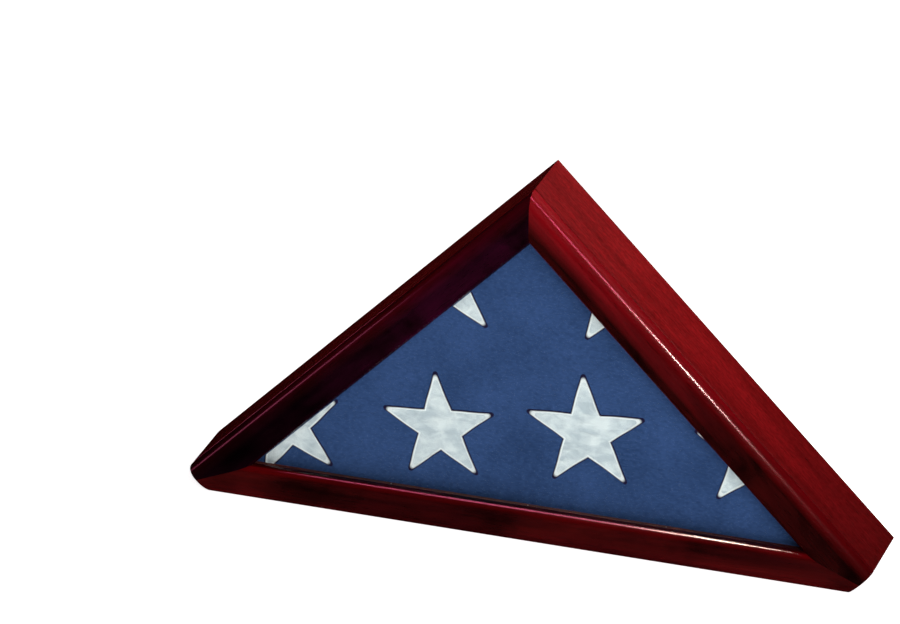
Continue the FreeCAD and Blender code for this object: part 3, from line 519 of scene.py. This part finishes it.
class ClothMesh:
    """Collects points and faces, and makes them one mesh."""

    def __init__(self):
        self.points, self.faces = [], []

    def add_points(self, points):
        first = len(self.points)
        self.points += [tuple(p) for p in points]
        return np.arange(first, len(self.points))

    def bridge(self, a, b, closed=True, flip=False):
        """Quads between two rows of points."""
        for i in range(len(a) if closed else len(a) - 1):
            k = (i + 1) % len(a)
            quad = (a[i], a[k], b[k], b[i])
            self.faces.append(quad[::-1] if flip else quad)

    def cap(self, ring, flip=False):
        """Close a ring with a fan to its middle."""
        hub = self.add_points([np.mean([self.points[i] for i in ring], axis=0)])[0]
        for i in range(len(ring)):
            fan = (hub, ring[(i + 1) % len(ring)], ring[i])
            self.faces.append(fan[::-1] if flip else fan)

    def make(self, name):
        mesh = bpy.data.meshes.new(name)
        points = [tuple(map(float, p)) for p in self.points]
        mesh.from_pydata(points, [], [tuple(map(int, f)) for f in self.faces])
        mesh.validate()
        mesh.shade_smooth()
        made = bpy.data.objects.new(name, mesh)
        scene.collection.objects.link(made)
        return made


print("cloth waves:", len(SLOW_WAVES))

# %% [markdown]
# The bundle is nested pockets: each is a front triangle, a bend round two edges and a back triangle, open
# along the third edge, where the layers of each strip turn back on themselves. One loop over the layers
# builds them all, and gives the cloth its real area.

# %% Folded flag
TRIANGLE_FOLDS = 13
STRIP_LAYERS = 4
FOLD_DEPTH = 10 * MM
# The bend at a folded edge is a round at 2, and squarer above that.
FOLD_SQUARENESS = 2.6
OUTER_FOLD_STEPS, INNER_FOLD_STEPS = 7, 3
# Only the outermost faces are seen, so only they get rings fine enough for waves.
OUTER_RINGS = np.linspace(0.03, 1, 34)
INNER_RINGS = np.array((0.5, 1.0))
# The waves die out over this many pockets on the way in.
WAVY_POCKETS = 8
TURN_BACK_ANGLES = (pi / 4, pi / 2, 3 * pi / 4)
WELD_DISTANCE = 0.01 * MM

pockets = TRIANGLE_FOLDS * STRIP_LAYERS // 2
layer_pitch = (flag_high.y - flag_low.y) / (2 * pockets)


def open_share():
    """For each outline point, 0 where the strip bends round the edge and 1 where the layers are open."""
    share = np.zeros(outline_points)
    share[wrapped_points + 1:] = 1
    ease = np.linspace(0, 1, CORNER_STEPS + 1)
    share[wrapped_points:wrapped_points + CORNER_STEPS + 1] = ease
    share[-CORNER_STEPS:] = ease[1:][::-1]
    return share


def fold_bend(share, half_thickness, depth):
    """The bend at a folded edge, a squarish half round: distance out from the flat and height from the
    middle, for a share of the way round from the flat to the outermost line."""
    angle = share * pi / 2
    power = 2 / FOLD_SQUARENESS
    return depth * np.sin(angle) ** power, half_thickness * np.cos(angle) ** power


def lay_layer(cloth, number):
    """One pocket of the bundle. Returns the outermost row of its front and of its back."""
    inset = (number + 0.5) * layer_pitch
    half_thickness = (pockets - number - 0.5) * layer_pitch
    depth = FOLD_DEPTH * half_thickness / (pockets * layer_pitch)
    opened = open_share()
    settle = max(0.0, 1 - number / WAVY_POCKETS)
    fold_steps = OUTER_FOLD_STEPS if number == 0 else INNER_FOLD_STEPS
    flat_rim = flag_outline(inset + depth)
    edge_wave = cloth_wave(flat_rim[:, 0], flat_rim[:, 1]) * settle
    outermost_rows = []
    for facing in (-1, 1):
        rows = []
        for share in OUTER_RINGS if number == 0 else INNER_RINGS:
            ring = incentre + share * (flat_rim - incentre)
            back_off = cloth_wave(ring[:, 0], ring[:, 1]) * settle
            y = flag_middle + facing * (half_thickness - back_off)
            rows.append(np.column_stack((ring[:, 0], y, ring[:, 1])))
        for step in range(1, fold_steps + 1):
            out, height = fold_bend(step / fold_steps, half_thickness, depth)
            ring = flag_outline(inset + depth - out)
            bent = height * (1 - edge_wave / half_thickness)
            flat = half_thickness - edge_wave
            y = flag_middle + facing * (bent + (flat - bent) * opened)
            rows.append(np.column_stack((ring[:, 0], y, ring[:, 1])))
        indices = [cloth.add_points(row) for row in rows]
        for a, b in zip(indices, indices[1:]):
            cloth.bridge(a, b, flip=facing > 0)
        cloth.cap(indices[0], flip=facing > 0)
        outermost_rows.append(indices[-1])
    return outermost_rows


def join_layers(cloth, outer, inner, facing):
    """A small fold along the open edge that turns one layer back into another one under it."""
    columns = np.arange(wrapped_points + CORNER_STEPS, outline_points - CORNER_STEPS + 1)
    a = np.array([cloth.points[i] for i in outer[columns]])
    b = np.array([cloth.points[i] for i in inner[columns]])
    middle = (a + b) / 2
    outward = np.array((1, 0, 1)) / sqrt(2)
    radius = np.abs(a[:, 1] - b[:, 1]) / 2
    last = outer[columns]
    for angle in TURN_BACK_ANGLES:
        row = middle + (a - middle) * cos(angle) + outward * (radius * sin(angle))[:, None]
        new = cloth.add_points(row)
        cloth.bridge(last, new, closed=False, flip=facing > 0)
        last = new
    cloth.bridge(last, inner[columns], closed=False, flip=facing > 0)


flag_cloth = ClothMesh()
rims = [lay_layer(flag_cloth, number) for number in range(pockets)]
for front_rim, back_rim in rims:
    wrapped = slice(0, wrapped_points + 1)
    flag_cloth.bridge(front_rim[wrapped], back_rim[wrapped], closed=False)
for strip in range(0, pockets - 1, STRIP_LAYERS):
    for outer, inner in ((strip, strip + STRIP_LAYERS - 1), (strip + 1, strip + 2)):
        if inner < pockets:
            for which, facing in ((0, -1), (1, 1)):
                join_layers(flag_cloth, rims[outer][which], rims[inner][which], facing)
flag = flag_cloth.make("folded_flag_cloth")
welder = bmesh.new()
welder.from_mesh(flag.data)
bmesh.ops.remove_doubles(welder, verts=welder.verts, dist=WELD_DISTANCE)
welder.to_mesh(flag.data)
welder.free()
print("flag:", pockets, "pockets,", len(flag.data.polygons), "faces")

# %% [markdown]
# Navy cotton. The cloth is a plain weave of threads about half a millimetre apart, drawn three times as
# coarse here so that the render can show it. Cotton scatters light softly: the eye sees a dull blue with
# uneven dye and a faint sheen at the edges, and no mirror shine.

# %% Navy cotton
NAVY_DARK, NAVY_LIGHT = "#2A4068", "#3C5688"
NAVY_SHEEN = 0.02
THREAD_MM = 1.5
CLOTH_PATCH_MM, DYE_SPREAD = 60, (0.7, 1.3)


def woven_cotton(name, dark, light, sheen):
    """Plain-weave cotton: two sets of threads at right angles, uneven dye and a soft nap."""
    material, tree, output = new_material(name)
    space = grain_space(tree, "base")
    parts = add_node(tree, "SeparateXYZ", {0: space})
    threads = []
    for axis in ("X", "Z"):
        turns = add_node(tree, "Math", {0: parts.outputs[axis], 1: 2 * pi / THREAD_MM},
                         operation="MULTIPLY")
        thread = add_node(tree, "Math", {0: turns.outputs["Value"]}, operation="SINE")
        threads.append(thread.outputs["Value"])
    weave = add_node(tree, "Math", {0: threads[0], 1: threads[1]}, operation="MULTIPLY")
    patches = stretched_noise(tree, space, CLOTH_PATCH_MM, CLOTH_PATCH_MM, detail=4.0)
    fuzz = stretched_noise(tree, space, 2 * THREAD_MM, THREAD_MM, detail=2.0)
    dye = add_node(tree, "Math", {0: patches, 1: fuzz}, operation="ADD")
    colour = two_tone(tree, dye.outputs["Value"], DYE_SPREAD, dark, light)
    height = add_node(tree, "Math", {0: weave.outputs["Value"], 1: fuzz}, operation="ADD")
    bump = add_node(tree, "Bump", {"Height": height.outputs["Value"], "Strength": 0.12,
                                   "Distance": 0.25 * MM})
    roughness = add_node(tree, "MapRange", {"Value": fuzz, "To Min": 0.82, "To Max": 0.95})
    shader = add_node(tree, "BsdfPrincipled", {
        "Base Color": colour, "Roughness": roughness.outputs["Result"],
        "Normal": bump.outputs["Normal"], "Specular IOR Level": 0.0,
        "Sheen Weight": sheen, "Sheen Roughness": 0.5})
    tree.links.new(shader.outputs["BSDF"], output.inputs["Surface"])
    return material


dress(flag, woven_cotton("navy_cotton", NAVY_DARK, NAVY_LIGHT, NAVY_SHEEN))
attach(flag, "case")
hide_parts("folded_flag")
print("flag dressed, threads", THREAD_MM, "mm apart")

# %% [markdown]
# The stars are white cotton sewn on with a satin stitch, which makes a raised, brighter rim. A star is the
# same shape at every size about its middle, so rings that shrink towards the middle follow its edges
# exactly. The rim is a half round of a few millimetres, and the cloth inside it is a little puckered by the
# stitching. They are sewn on by hand, so each differs a little from its row.

# %% Stars
STAR_POINTS = 5
ROW_RISE = radians(4.5)
# Each row has a star to count from, the distance from star to star, and the places along it that are sewn.
LOW_ROW = (Vector((-80 * MM, 87.5 * MM)), 133 * MM, (-1, 0, 1, 2))
HIGH_ROW = (Vector((-75 * MM, 222 * MM)), 143 * MM, (0, 1))
# For each star: its radius to the blunt tips, how far it is out of its row, and how far it leans to the
# left.
STAR_RADII_MM = (52.5, 51, 54, 53, 51, 51)
STAR_NUDGES_MM = ((-1, -7), (0.3, 0), (-4.4, 5.5), (6.5, -2.5), (0, 0), (4, -1))
STAR_LEANS = (14, 5.3, 4.5, 1.5, 8, 5)
TIP_ROUND = 2.2 * MM
TIP_STEPS, STAR_EDGE_STEPS = 6, 16
EDGE_WOBBLE, WOBBLE_PER_POINT, WOBBLE_PER_STAR = 0.4 * MM, 0.37, 1.7
STITCH_WIDTH, STITCH_HEIGHT = 2.4 * MM, 0.62 * MM
STITCH_ROWS = np.array((0, 0.04, 0.13, 0.27, 0.5, 0.73, 0.87, 0.96, 1.0))
STAR_CLOTH_HEIGHT = 0.30 * MM
STAR_CLOTH_ROWS, INNERMOST_ROW = 15, 0.97
# The creases are two crossed waves, each with its radians per metre along X and along Z.
CREASES, CREASE_SHARE = ((310, 170), (-130, 390)), 0.75
SUNK_IN_FLAG = 0.05 * MM
FLAG_EDGE_KEPT = 1.0 * MM


def star_outline(radius, lean):
    """The star's outline about its own middle, one point up but leaning to the left, with rounded tips."""
    half_tip = pi / 2 / STAR_POINTS
    half_pitch = pi / STAR_POINTS
    sharp = radius - TIP_ROUND + TIP_ROUND / sin(half_tip)
    notch = sharp * sin(half_tip) / sin(half_pitch + half_tip)
    arc = np.linspace(half_tip - pi / 2, pi / 2 - half_tip, TIP_STEPS + 1)[:, None]
    share = np.linspace(0, 1, STAR_EDGE_STEPS + 1)[1:-1, None]
    runs = []
    for point in range(STAR_POINTS):
        angle = 2 * half_pitch * point + lean
        outward = np.array((-sin(angle), cos(angle)))
        sideways = np.array((-cos(angle), -sin(angle)))
        tip_middle = outward * (radius - TIP_ROUND)
        round_tip = tip_middle + TIP_ROUND * (np.cos(arc) * outward + np.sin(arc) * sideways)
        before, after = [notch * np.array((-sin(angle + side), cos(angle + side)))
                         for side in (-half_pitch, half_pitch)]
        runs += [before[None], before + share * (round_tip[0] - before), round_tip,
                 round_tip[-1] + share * (after - round_tip[-1])]
    return np.concatenate(runs)


def flag_face(x, z):
    """Where the flag's front face is, in y."""
    half_thickness = (pockets - 0.5) * layer_pitch
    return flag_middle - half_thickness + cloth_wave(x, z)


def sew_star(cloth, middle, number):
    """Add one star to the mesh. Each point is noted with its distance in from the edge, in millimetres, and
    its place along the edge."""
    radius = STAR_RADII_MM[number] * MM
    outline = star_outline(radius, radians(STAR_LEANS[number]))
    wobble = EDGE_WOBBLE * np.sin(np.arange(len(outline)) * WOBBLE_PER_POINT + WOBBLE_PER_STAR * number)
    lengths = np.linalg.norm(outline, axis=1)
    outline = outline * ((lengths + wobble) / lengths)[:, None]
    edge_reach = radius * sin(pi / 2 / STAR_POINTS)
    rim_rows = STITCH_ROWS * STITCH_WIDTH / edge_reach
    cloth_rows = np.linspace(rim_rows[-1], INNERMOST_ROW, STAR_CLOTH_ROWS + 1)[1:]
    (first_x, first_z), (second_x, second_z) = CREASES
    rings = []
    for inwards in np.concatenate((rim_rows, cloth_rows)):
        ring = np.array(middle) + outline * (1 - inwards)
        x, z = ring[:, 0], ring[:, 1]
        across = inwards * edge_reach / STITCH_WIDTH
        rim = sqrt(max(0.0, 1 - (2 * across - 1) ** 2)) if across <= 1 else 0.0
        crease = np.sin(first_x * x + first_z * z) * np.sin(second_z * z + second_x * x + number)
        quilted = STAR_CLOTH_HEIGHT * min(1.0, across * 2) * (1 + CREASE_SHARE * crease)
        raised = np.maximum(quilted, rim * STITCH_HEIGHT)
        y = flag_face(x, z) - raised + SUNK_IN_FLAG
        rings.append(cloth.add_points(np.column_stack((x, y, z))))
        star_notes["from_edge"] += [inwards * edge_reach / MM] * len(ring)
        star_notes["along_edge"] += list(range(len(ring)))
    for a, b in zip(rings, rings[1:]):
        cloth.bridge(a, b, flip=True)
    cloth.cap(rings[-1])
    star_notes["from_edge"].append(edge_reach / MM)
    star_notes["along_edge"].append(0)


star_cloth = ClothMesh()
star_notes = {"from_edge": [], "along_edge": []}
along_row = Vector((cos(ROW_RISE), sin(ROW_RISE)))
star_places = [start + column * pitch * along_row for start, pitch, columns in (LOW_ROW, HIGH_ROW)
               for column in columns]
for number, place in enumerate(star_places):
    sew_star(star_cloth, place + Vector(STAR_NUDGES_MM[number]) * MM, number)
stars = star_cloth.make("flag_stars_sewn")
for name, values in star_notes.items():
    layer = stars.data.attributes.new(name, "FLOAT", "POINT")
    layer.data.foreach_set("value", np.array(values, np.float32))
# A star is cut off where the cloth folds away.
cutter = bmesh.new()
cutter.from_mesh(stars.data)
for corner, (out_x, out_z) in zip(flag_corners, ((0, -1), (-1, 1), (1, 1))):
    outward = Vector((out_x, 0, out_z)).normalized()
    on_line = Vector((corner[0], 0, corner[1])) - outward * (FOLD_DEPTH + FLAG_EDGE_KEPT)
    everything = cutter.verts[:] + cutter.edges[:] + cutter.faces[:]
    bmesh.ops.bisect_plane(cutter, geom=everything, plane_co=on_line, plane_no=outward, clear_outer=True)
cutter.to_mesh(stars.data)
cutter.free()
print("stars:", len(star_places), "sewn,", len(stars.data.polygons), "faces")

# %% [markdown]
# White cotton for the stars. The satin stitch lies across the rim, so its threads are stripes that follow
# the place along the edge. That place was stored on the mesh, and the material reads it back. The eye sees
# a bright rim with a painted dark line of shadow round it, and soft creases inside whose grey is painted
# shade.

# %% White cotton
STAR_PAINTED_CREASE_SHADE, STAR_WHITE, STITCH_WHITE, SEAM_PAINTED_SHADOW = "#C6D3DA", "#EDF6F8", "#F8FEFF", "#241F3C"
SEAM_MM = 1.5
PUCKER_LENGTH_MM, PUCKER_WIDTH_MM, PUCKER_SPREAD = 14, 9, (0.35, 0.65)

white, tree, output = new_material("white_cotton_satin_stitch")
space = grain_space(tree, "base")
from_edge = add_node(tree, "Attribute", attribute_name="from_edge").outputs["Fac"]
along = add_node(tree, "Attribute", attribute_name="along_edge").outputs["Fac"]
on_rim = add_node(tree, "Math", {0: from_edge, 1: STITCH_WIDTH / MM},
                  operation="LESS_THAN").outputs["Value"]
turns = add_node(tree, "Math", {0: along, 1: 2 * pi}, operation="MULTIPLY")
stitch = add_node(tree, "Math", {0: turns.outputs["Value"]}, operation="SINE")
stitches = add_node(tree, "Math", {0: stitch.outputs["Value"], 1: on_rim}, operation="MULTIPLY")
puckers = stretched_noise(tree, space, PUCKER_LENGTH_MM, PUCKER_WIDTH_MM, detail=4.0, distortion=0.5)
# Painted shade: the grey follows the puckers of the bump, darkest in the creases.
cloth_colour = two_tone(tree, puckers, PUCKER_SPREAD, STAR_PAINTED_CREASE_SHADE, STAR_WHITE)
rimmed = add_node(tree, "Mix", {MIX_FACTOR: on_rim, MIX_A: cloth_colour, MIX_B: linear(STITCH_WHITE)},
                  **BLEND)
# Painted shadow: a dark line round the star's edge, where it meets the flag.
out_of_seam = add_node(tree, "MapRange", {"Value": from_edge, "From Min": 0.5 * SEAM_MM,
                                          "From Max": SEAM_MM})
colour = add_node(tree, "Mix", {MIX_FACTOR: out_of_seam.outputs["Result"], MIX_A: linear(SEAM_PAINTED_SHADOW),
                                MIX_B: rimmed.outputs[MIX_OUT]}, **BLEND)
pucker_bump = add_node(tree, "Bump", {"Height": puckers, "Strength": 0.8, "Distance": 2.5 * MM})
stitch_bump = add_node(tree, "Bump", {"Height": stitches.outputs["Value"], "Strength": 0.4,
                                      "Distance": 0.3 * MM, "Normal": pucker_bump.outputs["Normal"]})
rim_roughness = add_node(tree, "MapRange", {"Value": on_rim, "To Min": 0.9, "To Max": 0.5})
shader = add_node(tree, "BsdfPrincipled", {
    "Base Color": colour.outputs[MIX_OUT], "Roughness": rim_roughness.outputs["Result"],
    "Normal": stitch_bump.outputs["Normal"], "Specular IOR Level": 0.0})
tree.links.new(shader.outputs["BSDF"], output.inputs["Surface"])
dress(stars, white)
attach(stars, "case")
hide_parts("flag_stars")

# %% [markdown]
# The felt is a thin pad glued to the inside of the back. It is cut from flat stock to the shape of the
# opening, so a plate with a softly rounded rim stands for it.

# %% Felt pad
FELT_ROUND = 0.6 * MM
FELT_STEP = 12 * MM
# The rows of each face, from the middle out: share of the way to the edge, and whether it is sunk at the
# rim.
FELT_ROWS = ((0.35, 0), (0.7, 0), (1, 0), (1, 1))
# The front is a little uneven, in waves with these radians per metre along X and along Z.
FELT_WAVE_HEIGHT, FELT_WAVE_X, FELT_WAVE_Z = 0.12 * MM, 410, 90

felt_low, felt_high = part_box("felt_lining")


def felt_outline():
    """The felt's outline, read as the outermost points of its solid, in order round it."""
    spots = sorted({(round(v.co.x, 5), round(v.co.z, 5)) for v in nodes["felt_lining"].data.vertices})
    middle = np.mean(spots, axis=0)
    spots.sort(key=lambda p: math.atan2(p[1] - middle[1], p[0] - middle[0]))
    points = []
    for a, b in zip(spots, spots[1:] + spots[:1]):
        steps = max(1, round(math.dist(a, b) / FELT_STEP))
        points += [np.array(a) + (np.array(b) - np.array(a)) * i / steps for i in range(steps)]
    return np.array(points), middle


edge, felt_middle = felt_outline()
outwards = (edge - felt_middle) / np.linalg.norm(edge - felt_middle, axis=1)[:, None]
felt_cloth = ClothMesh()
felt_rims = []
for facing, face_y in ((-1, felt_low.y), (1, felt_high.y)):
    rows = []
    for share, sunk in FELT_ROWS:
        ring = felt_middle + share * (edge - felt_middle)
        if share == 1 and not sunk:
            ring = ring - outwards * FELT_ROUND
        x, z = ring[:, 0], ring[:, 1]
        waves = FELT_WAVE_HEIGHT * (1 + np.sin(FELT_WAVE_X * x + FELT_WAVE_Z * z)) * (facing < 0)
        y = face_y - facing * sunk * FELT_ROUND + waves
        rows.append(felt_cloth.add_points(np.column_stack((x, y, z))))
    felt_rims.append(rows)
for rows, flip in zip(felt_rims, (True, False)):
    for a, b in zip(rows, rows[1:]):
        felt_cloth.bridge(a, b, flip=flip)
    felt_cloth.cap(rows[0], flip=flip)
felt_cloth.bridge(felt_rims[0][-1], felt_rims[1][-1], flip=True)
felt = felt_cloth.make("felt_pad")

# %% [markdown]
# Black wool felt. It drinks light, so the eye sees little but a soft grey bloom where the fibres catch it.

# %% Black felt
FELT_BLACK, FELT_GREY, FELT_SPREAD = "#08080A", "#1E1E22", (0.12, 0.4)
# Real fibres are far finer. These are drawn coarser, so that the render can show them.
FIBRE_MM = 1.6
CLUMP_MM = 18

black_felt, tree, output = new_material("black_wool_felt")
space = grain_space(tree, "base")
fibres = stretched_noise(tree, space, FIBRE_MM, FIBRE_MM, detail=6.0, distortion=2.0)
clumps = stretched_noise(tree, space, CLUMP_MM, CLUMP_MM)
mix_share = add_node(tree, "Math", {0: fibres, 1: clumps}, operation="MULTIPLY")
colour = two_tone(tree, mix_share.outputs["Value"], FELT_SPREAD, FELT_BLACK, FELT_GREY)
bump = add_node(tree, "Bump", {"Height": fibres, "Strength": 0.6, "Distance": 0.5 * MM})
roughness = add_node(tree, "MapRange", {"Value": fibres, "To Min": 0.85, "To Max": 1.0})
shader = add_node(tree, "BsdfPrincipled", {
    "Base Color": colour, "Roughness": roughness.outputs["Result"],
    "Normal": bump.outputs["Normal"], "Specular IOR Level": 0.1,
    "Sheen Weight": 0.3, "Sheen Roughness": 0.6})
tree.links.new(shader.outputs["BSDF"], output.inputs["Surface"])
dress(felt, black_felt)
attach(felt, "back")
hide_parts("felt_lining")

# %% [markdown]
# A white paper floor, bright enough to fade into the background. It is kept out of mirror images, as a
# photographer does with a dark card, so that the lacquer and the glass stay clear. Behind the case lies a
# sheet that only mirror images show, which brightens the lacquer of the right side.

# %% Floor
PAPER_WHITE, PAPER_GLOW, PAPER_GLOW_STRENGTH = "#F4F4F4", "#FFFFFF", 0.9
CARD_LIFT = 0.5 * MM

paper, tree, output = new_material("white_paper")
shader = add_node(tree, "BsdfPrincipled", {
    "Base Color": linear(PAPER_WHITE), "Roughness": 0.9, "Specular IOR Level": 0.0,
    "Emission Color": linear(PAPER_GLOW), "Emission Strength": PAPER_GLOW_STRENGTH})
tree.links.new(shader.outputs["BSDF"], output.inputs["Surface"])


def paper_sheet(name, low, high, height):
    """A level sheet of white paper between two corners, which is no part of the case."""
    mesh = bpy.data.meshes.new(name)
    (x0, y0), (x1, y1) = low, high
    corners = [(x0, y0, height), (x1, y0, height), (x1, y1, height), (x0, y1, height)]
    mesh.from_pydata(corners, [], [(0, 1, 2, 3)])
    sheet = bpy.data.objects.new(name, mesh)
    scene.collection.objects.link(sheet)
    dress(sheet, paper)
    return sheet


floor = paper_sheet("floor", low=(-9, -9), high=(9, 9), height=0)
floor.visible_glossy = False
floor.visible_transmission = False
card = paper_sheet("mirror_card", low=(-0.28, 0.05), high=(1.2, 1.2), height=CARD_LIFT)
for rays in ("camera", "diffuse", "transmission", "shadow"):
    setattr(card, f"visible_{rays}", False)
print("floor and mirror card laid")

# %% [markdown]
# Soft studio lamps. A key lamp to the right and behind makes the right side glow red while the front stays
# dark. A large front lamp lights the flag, and one behind lights the back. None of these three shows in
# reflections. The highlights come from five small softboxes that are seen only as reflections, each placed
# where a rounded edge mirrors it: pink strips for the long thin lines, cream spots for the bright parts.

# %% Light
PINK, CREAM = "#FF6F9F", "#FFEBD8"
KEY_SPREAD = radians(110)
ROOM_COLOUR, ROOM_STRENGTH = "#FFFFFF", 0.01
case_middle = (cad_box[0] + cad_box[1]) / 2


def softbox(name, aim, direction, distance, size, power, along=None):
    """An area lamp that looks at a point from a direction. along turns its width to a direction in space."""
    lamp = bpy.data.objects.new(name, bpy.data.lights.new(name, "AREA"))
    lamp.data.shape = "RECTANGLE"
    lamp.data.size, lamp.data.size_y = size
    lamp.data.energy = power
    lamp.visible_camera = False
    away = Vector(direction).normalized()
    side = Vector(along) if along else Vector((0, 0, 1)).cross(away)
    side = (side - away * side.dot(away)).normalized()
    up = away.cross(side)
    turn = Matrix((side, up, away)).transposed().to_4x4()
    lamp.matrix_world = Matrix.Translation(Vector(aim) + away * distance) @ turn
    scene.collection.objects.link(lamp)
    return lamp


def shine(name, tint, **place):
    """A tinted softbox that is seen only as a reflection."""
    lamp = softbox(name, **place)
    lamp.data.color = linear(tint)[:3]
    lamp.visible_diffuse = False
    lamp.visible_transmission = False


key = softbox("key", aim=(0.05, 0.0, 0.27), direction=(0.25, 0.30, 0.33), distance=0.51, size=(0.40, 0.40),
              power=1.45)
key.data.spread = KEY_SPREAD
front_fill = softbox("front_fill", aim=case_middle, direction=(0.47, -0.73, 0.48), distance=3.2,
                     size=(2.0, 1.2), power=56)
back_fill = softbox("back_fill", aim=case_middle, direction=(0.05, 0.985, 0.16), distance=2.5,
                    size=(1.5, 1.2), power=22)
for lamp in (key, front_fill, back_fill):
    lamp.visible_glossy = False
# Where a lamp stands for the outer edge of the right leg, and for the upper edge of the base, to mirror it.
on_leg = {"direction": (0.765, -0.130, 0.622), "along": (1, 0, -1)}
on_sill = {"direction": (-0.279, -0.08, 0.95), "along": (1, 0, 0)}
shine("leg_strip", PINK, aim=(0.09, -0.035, 0.225), distance=0.6, size=(0.30, 0.05), power=2.8, **on_leg)
shine("leg_spot", CREAM, aim=(0.147, -0.035, 0.168), distance=0.6, size=(0.045, 0.05), power=3.6, **on_leg)
shine("sill_strip", PINK, aim=(0.0, -0.037, 0.03), distance=1.9, size=(0.70, 0.22), power=24, **on_sill)
shine("sill_spot", CREAM, aim=(0.20, -0.037, 0.03), distance=0.6, size=(0.06, 0.09), power=7, **on_sill)
shine("left_strip", PINK, aim=(-0.21, -0.035, 0.09), direction=(-0.96, -0.10, 0.26), distance=0.6,
      size=(0.24, 0.05), power=0.5, along=(1, 0, 1))

# The room itself is almost dark, and stays out of reflections, where it would lie as a veil on the lacquer.
world = bpy.data.worlds.new("studio")
scene.world = world
world.use_nodes = True
world.node_tree.nodes["Background"].inputs["Color"].default_value = linear(ROOM_COLOUR)
world.node_tree.nodes["Background"].inputs["Strength"].default_value = ROOM_STRENGTH
world.cycles_visibility.glossy = False
scene.view_settings.view_transform = "Standard"
print("lamps:", len(bpy.data.lights), "and a dim room")
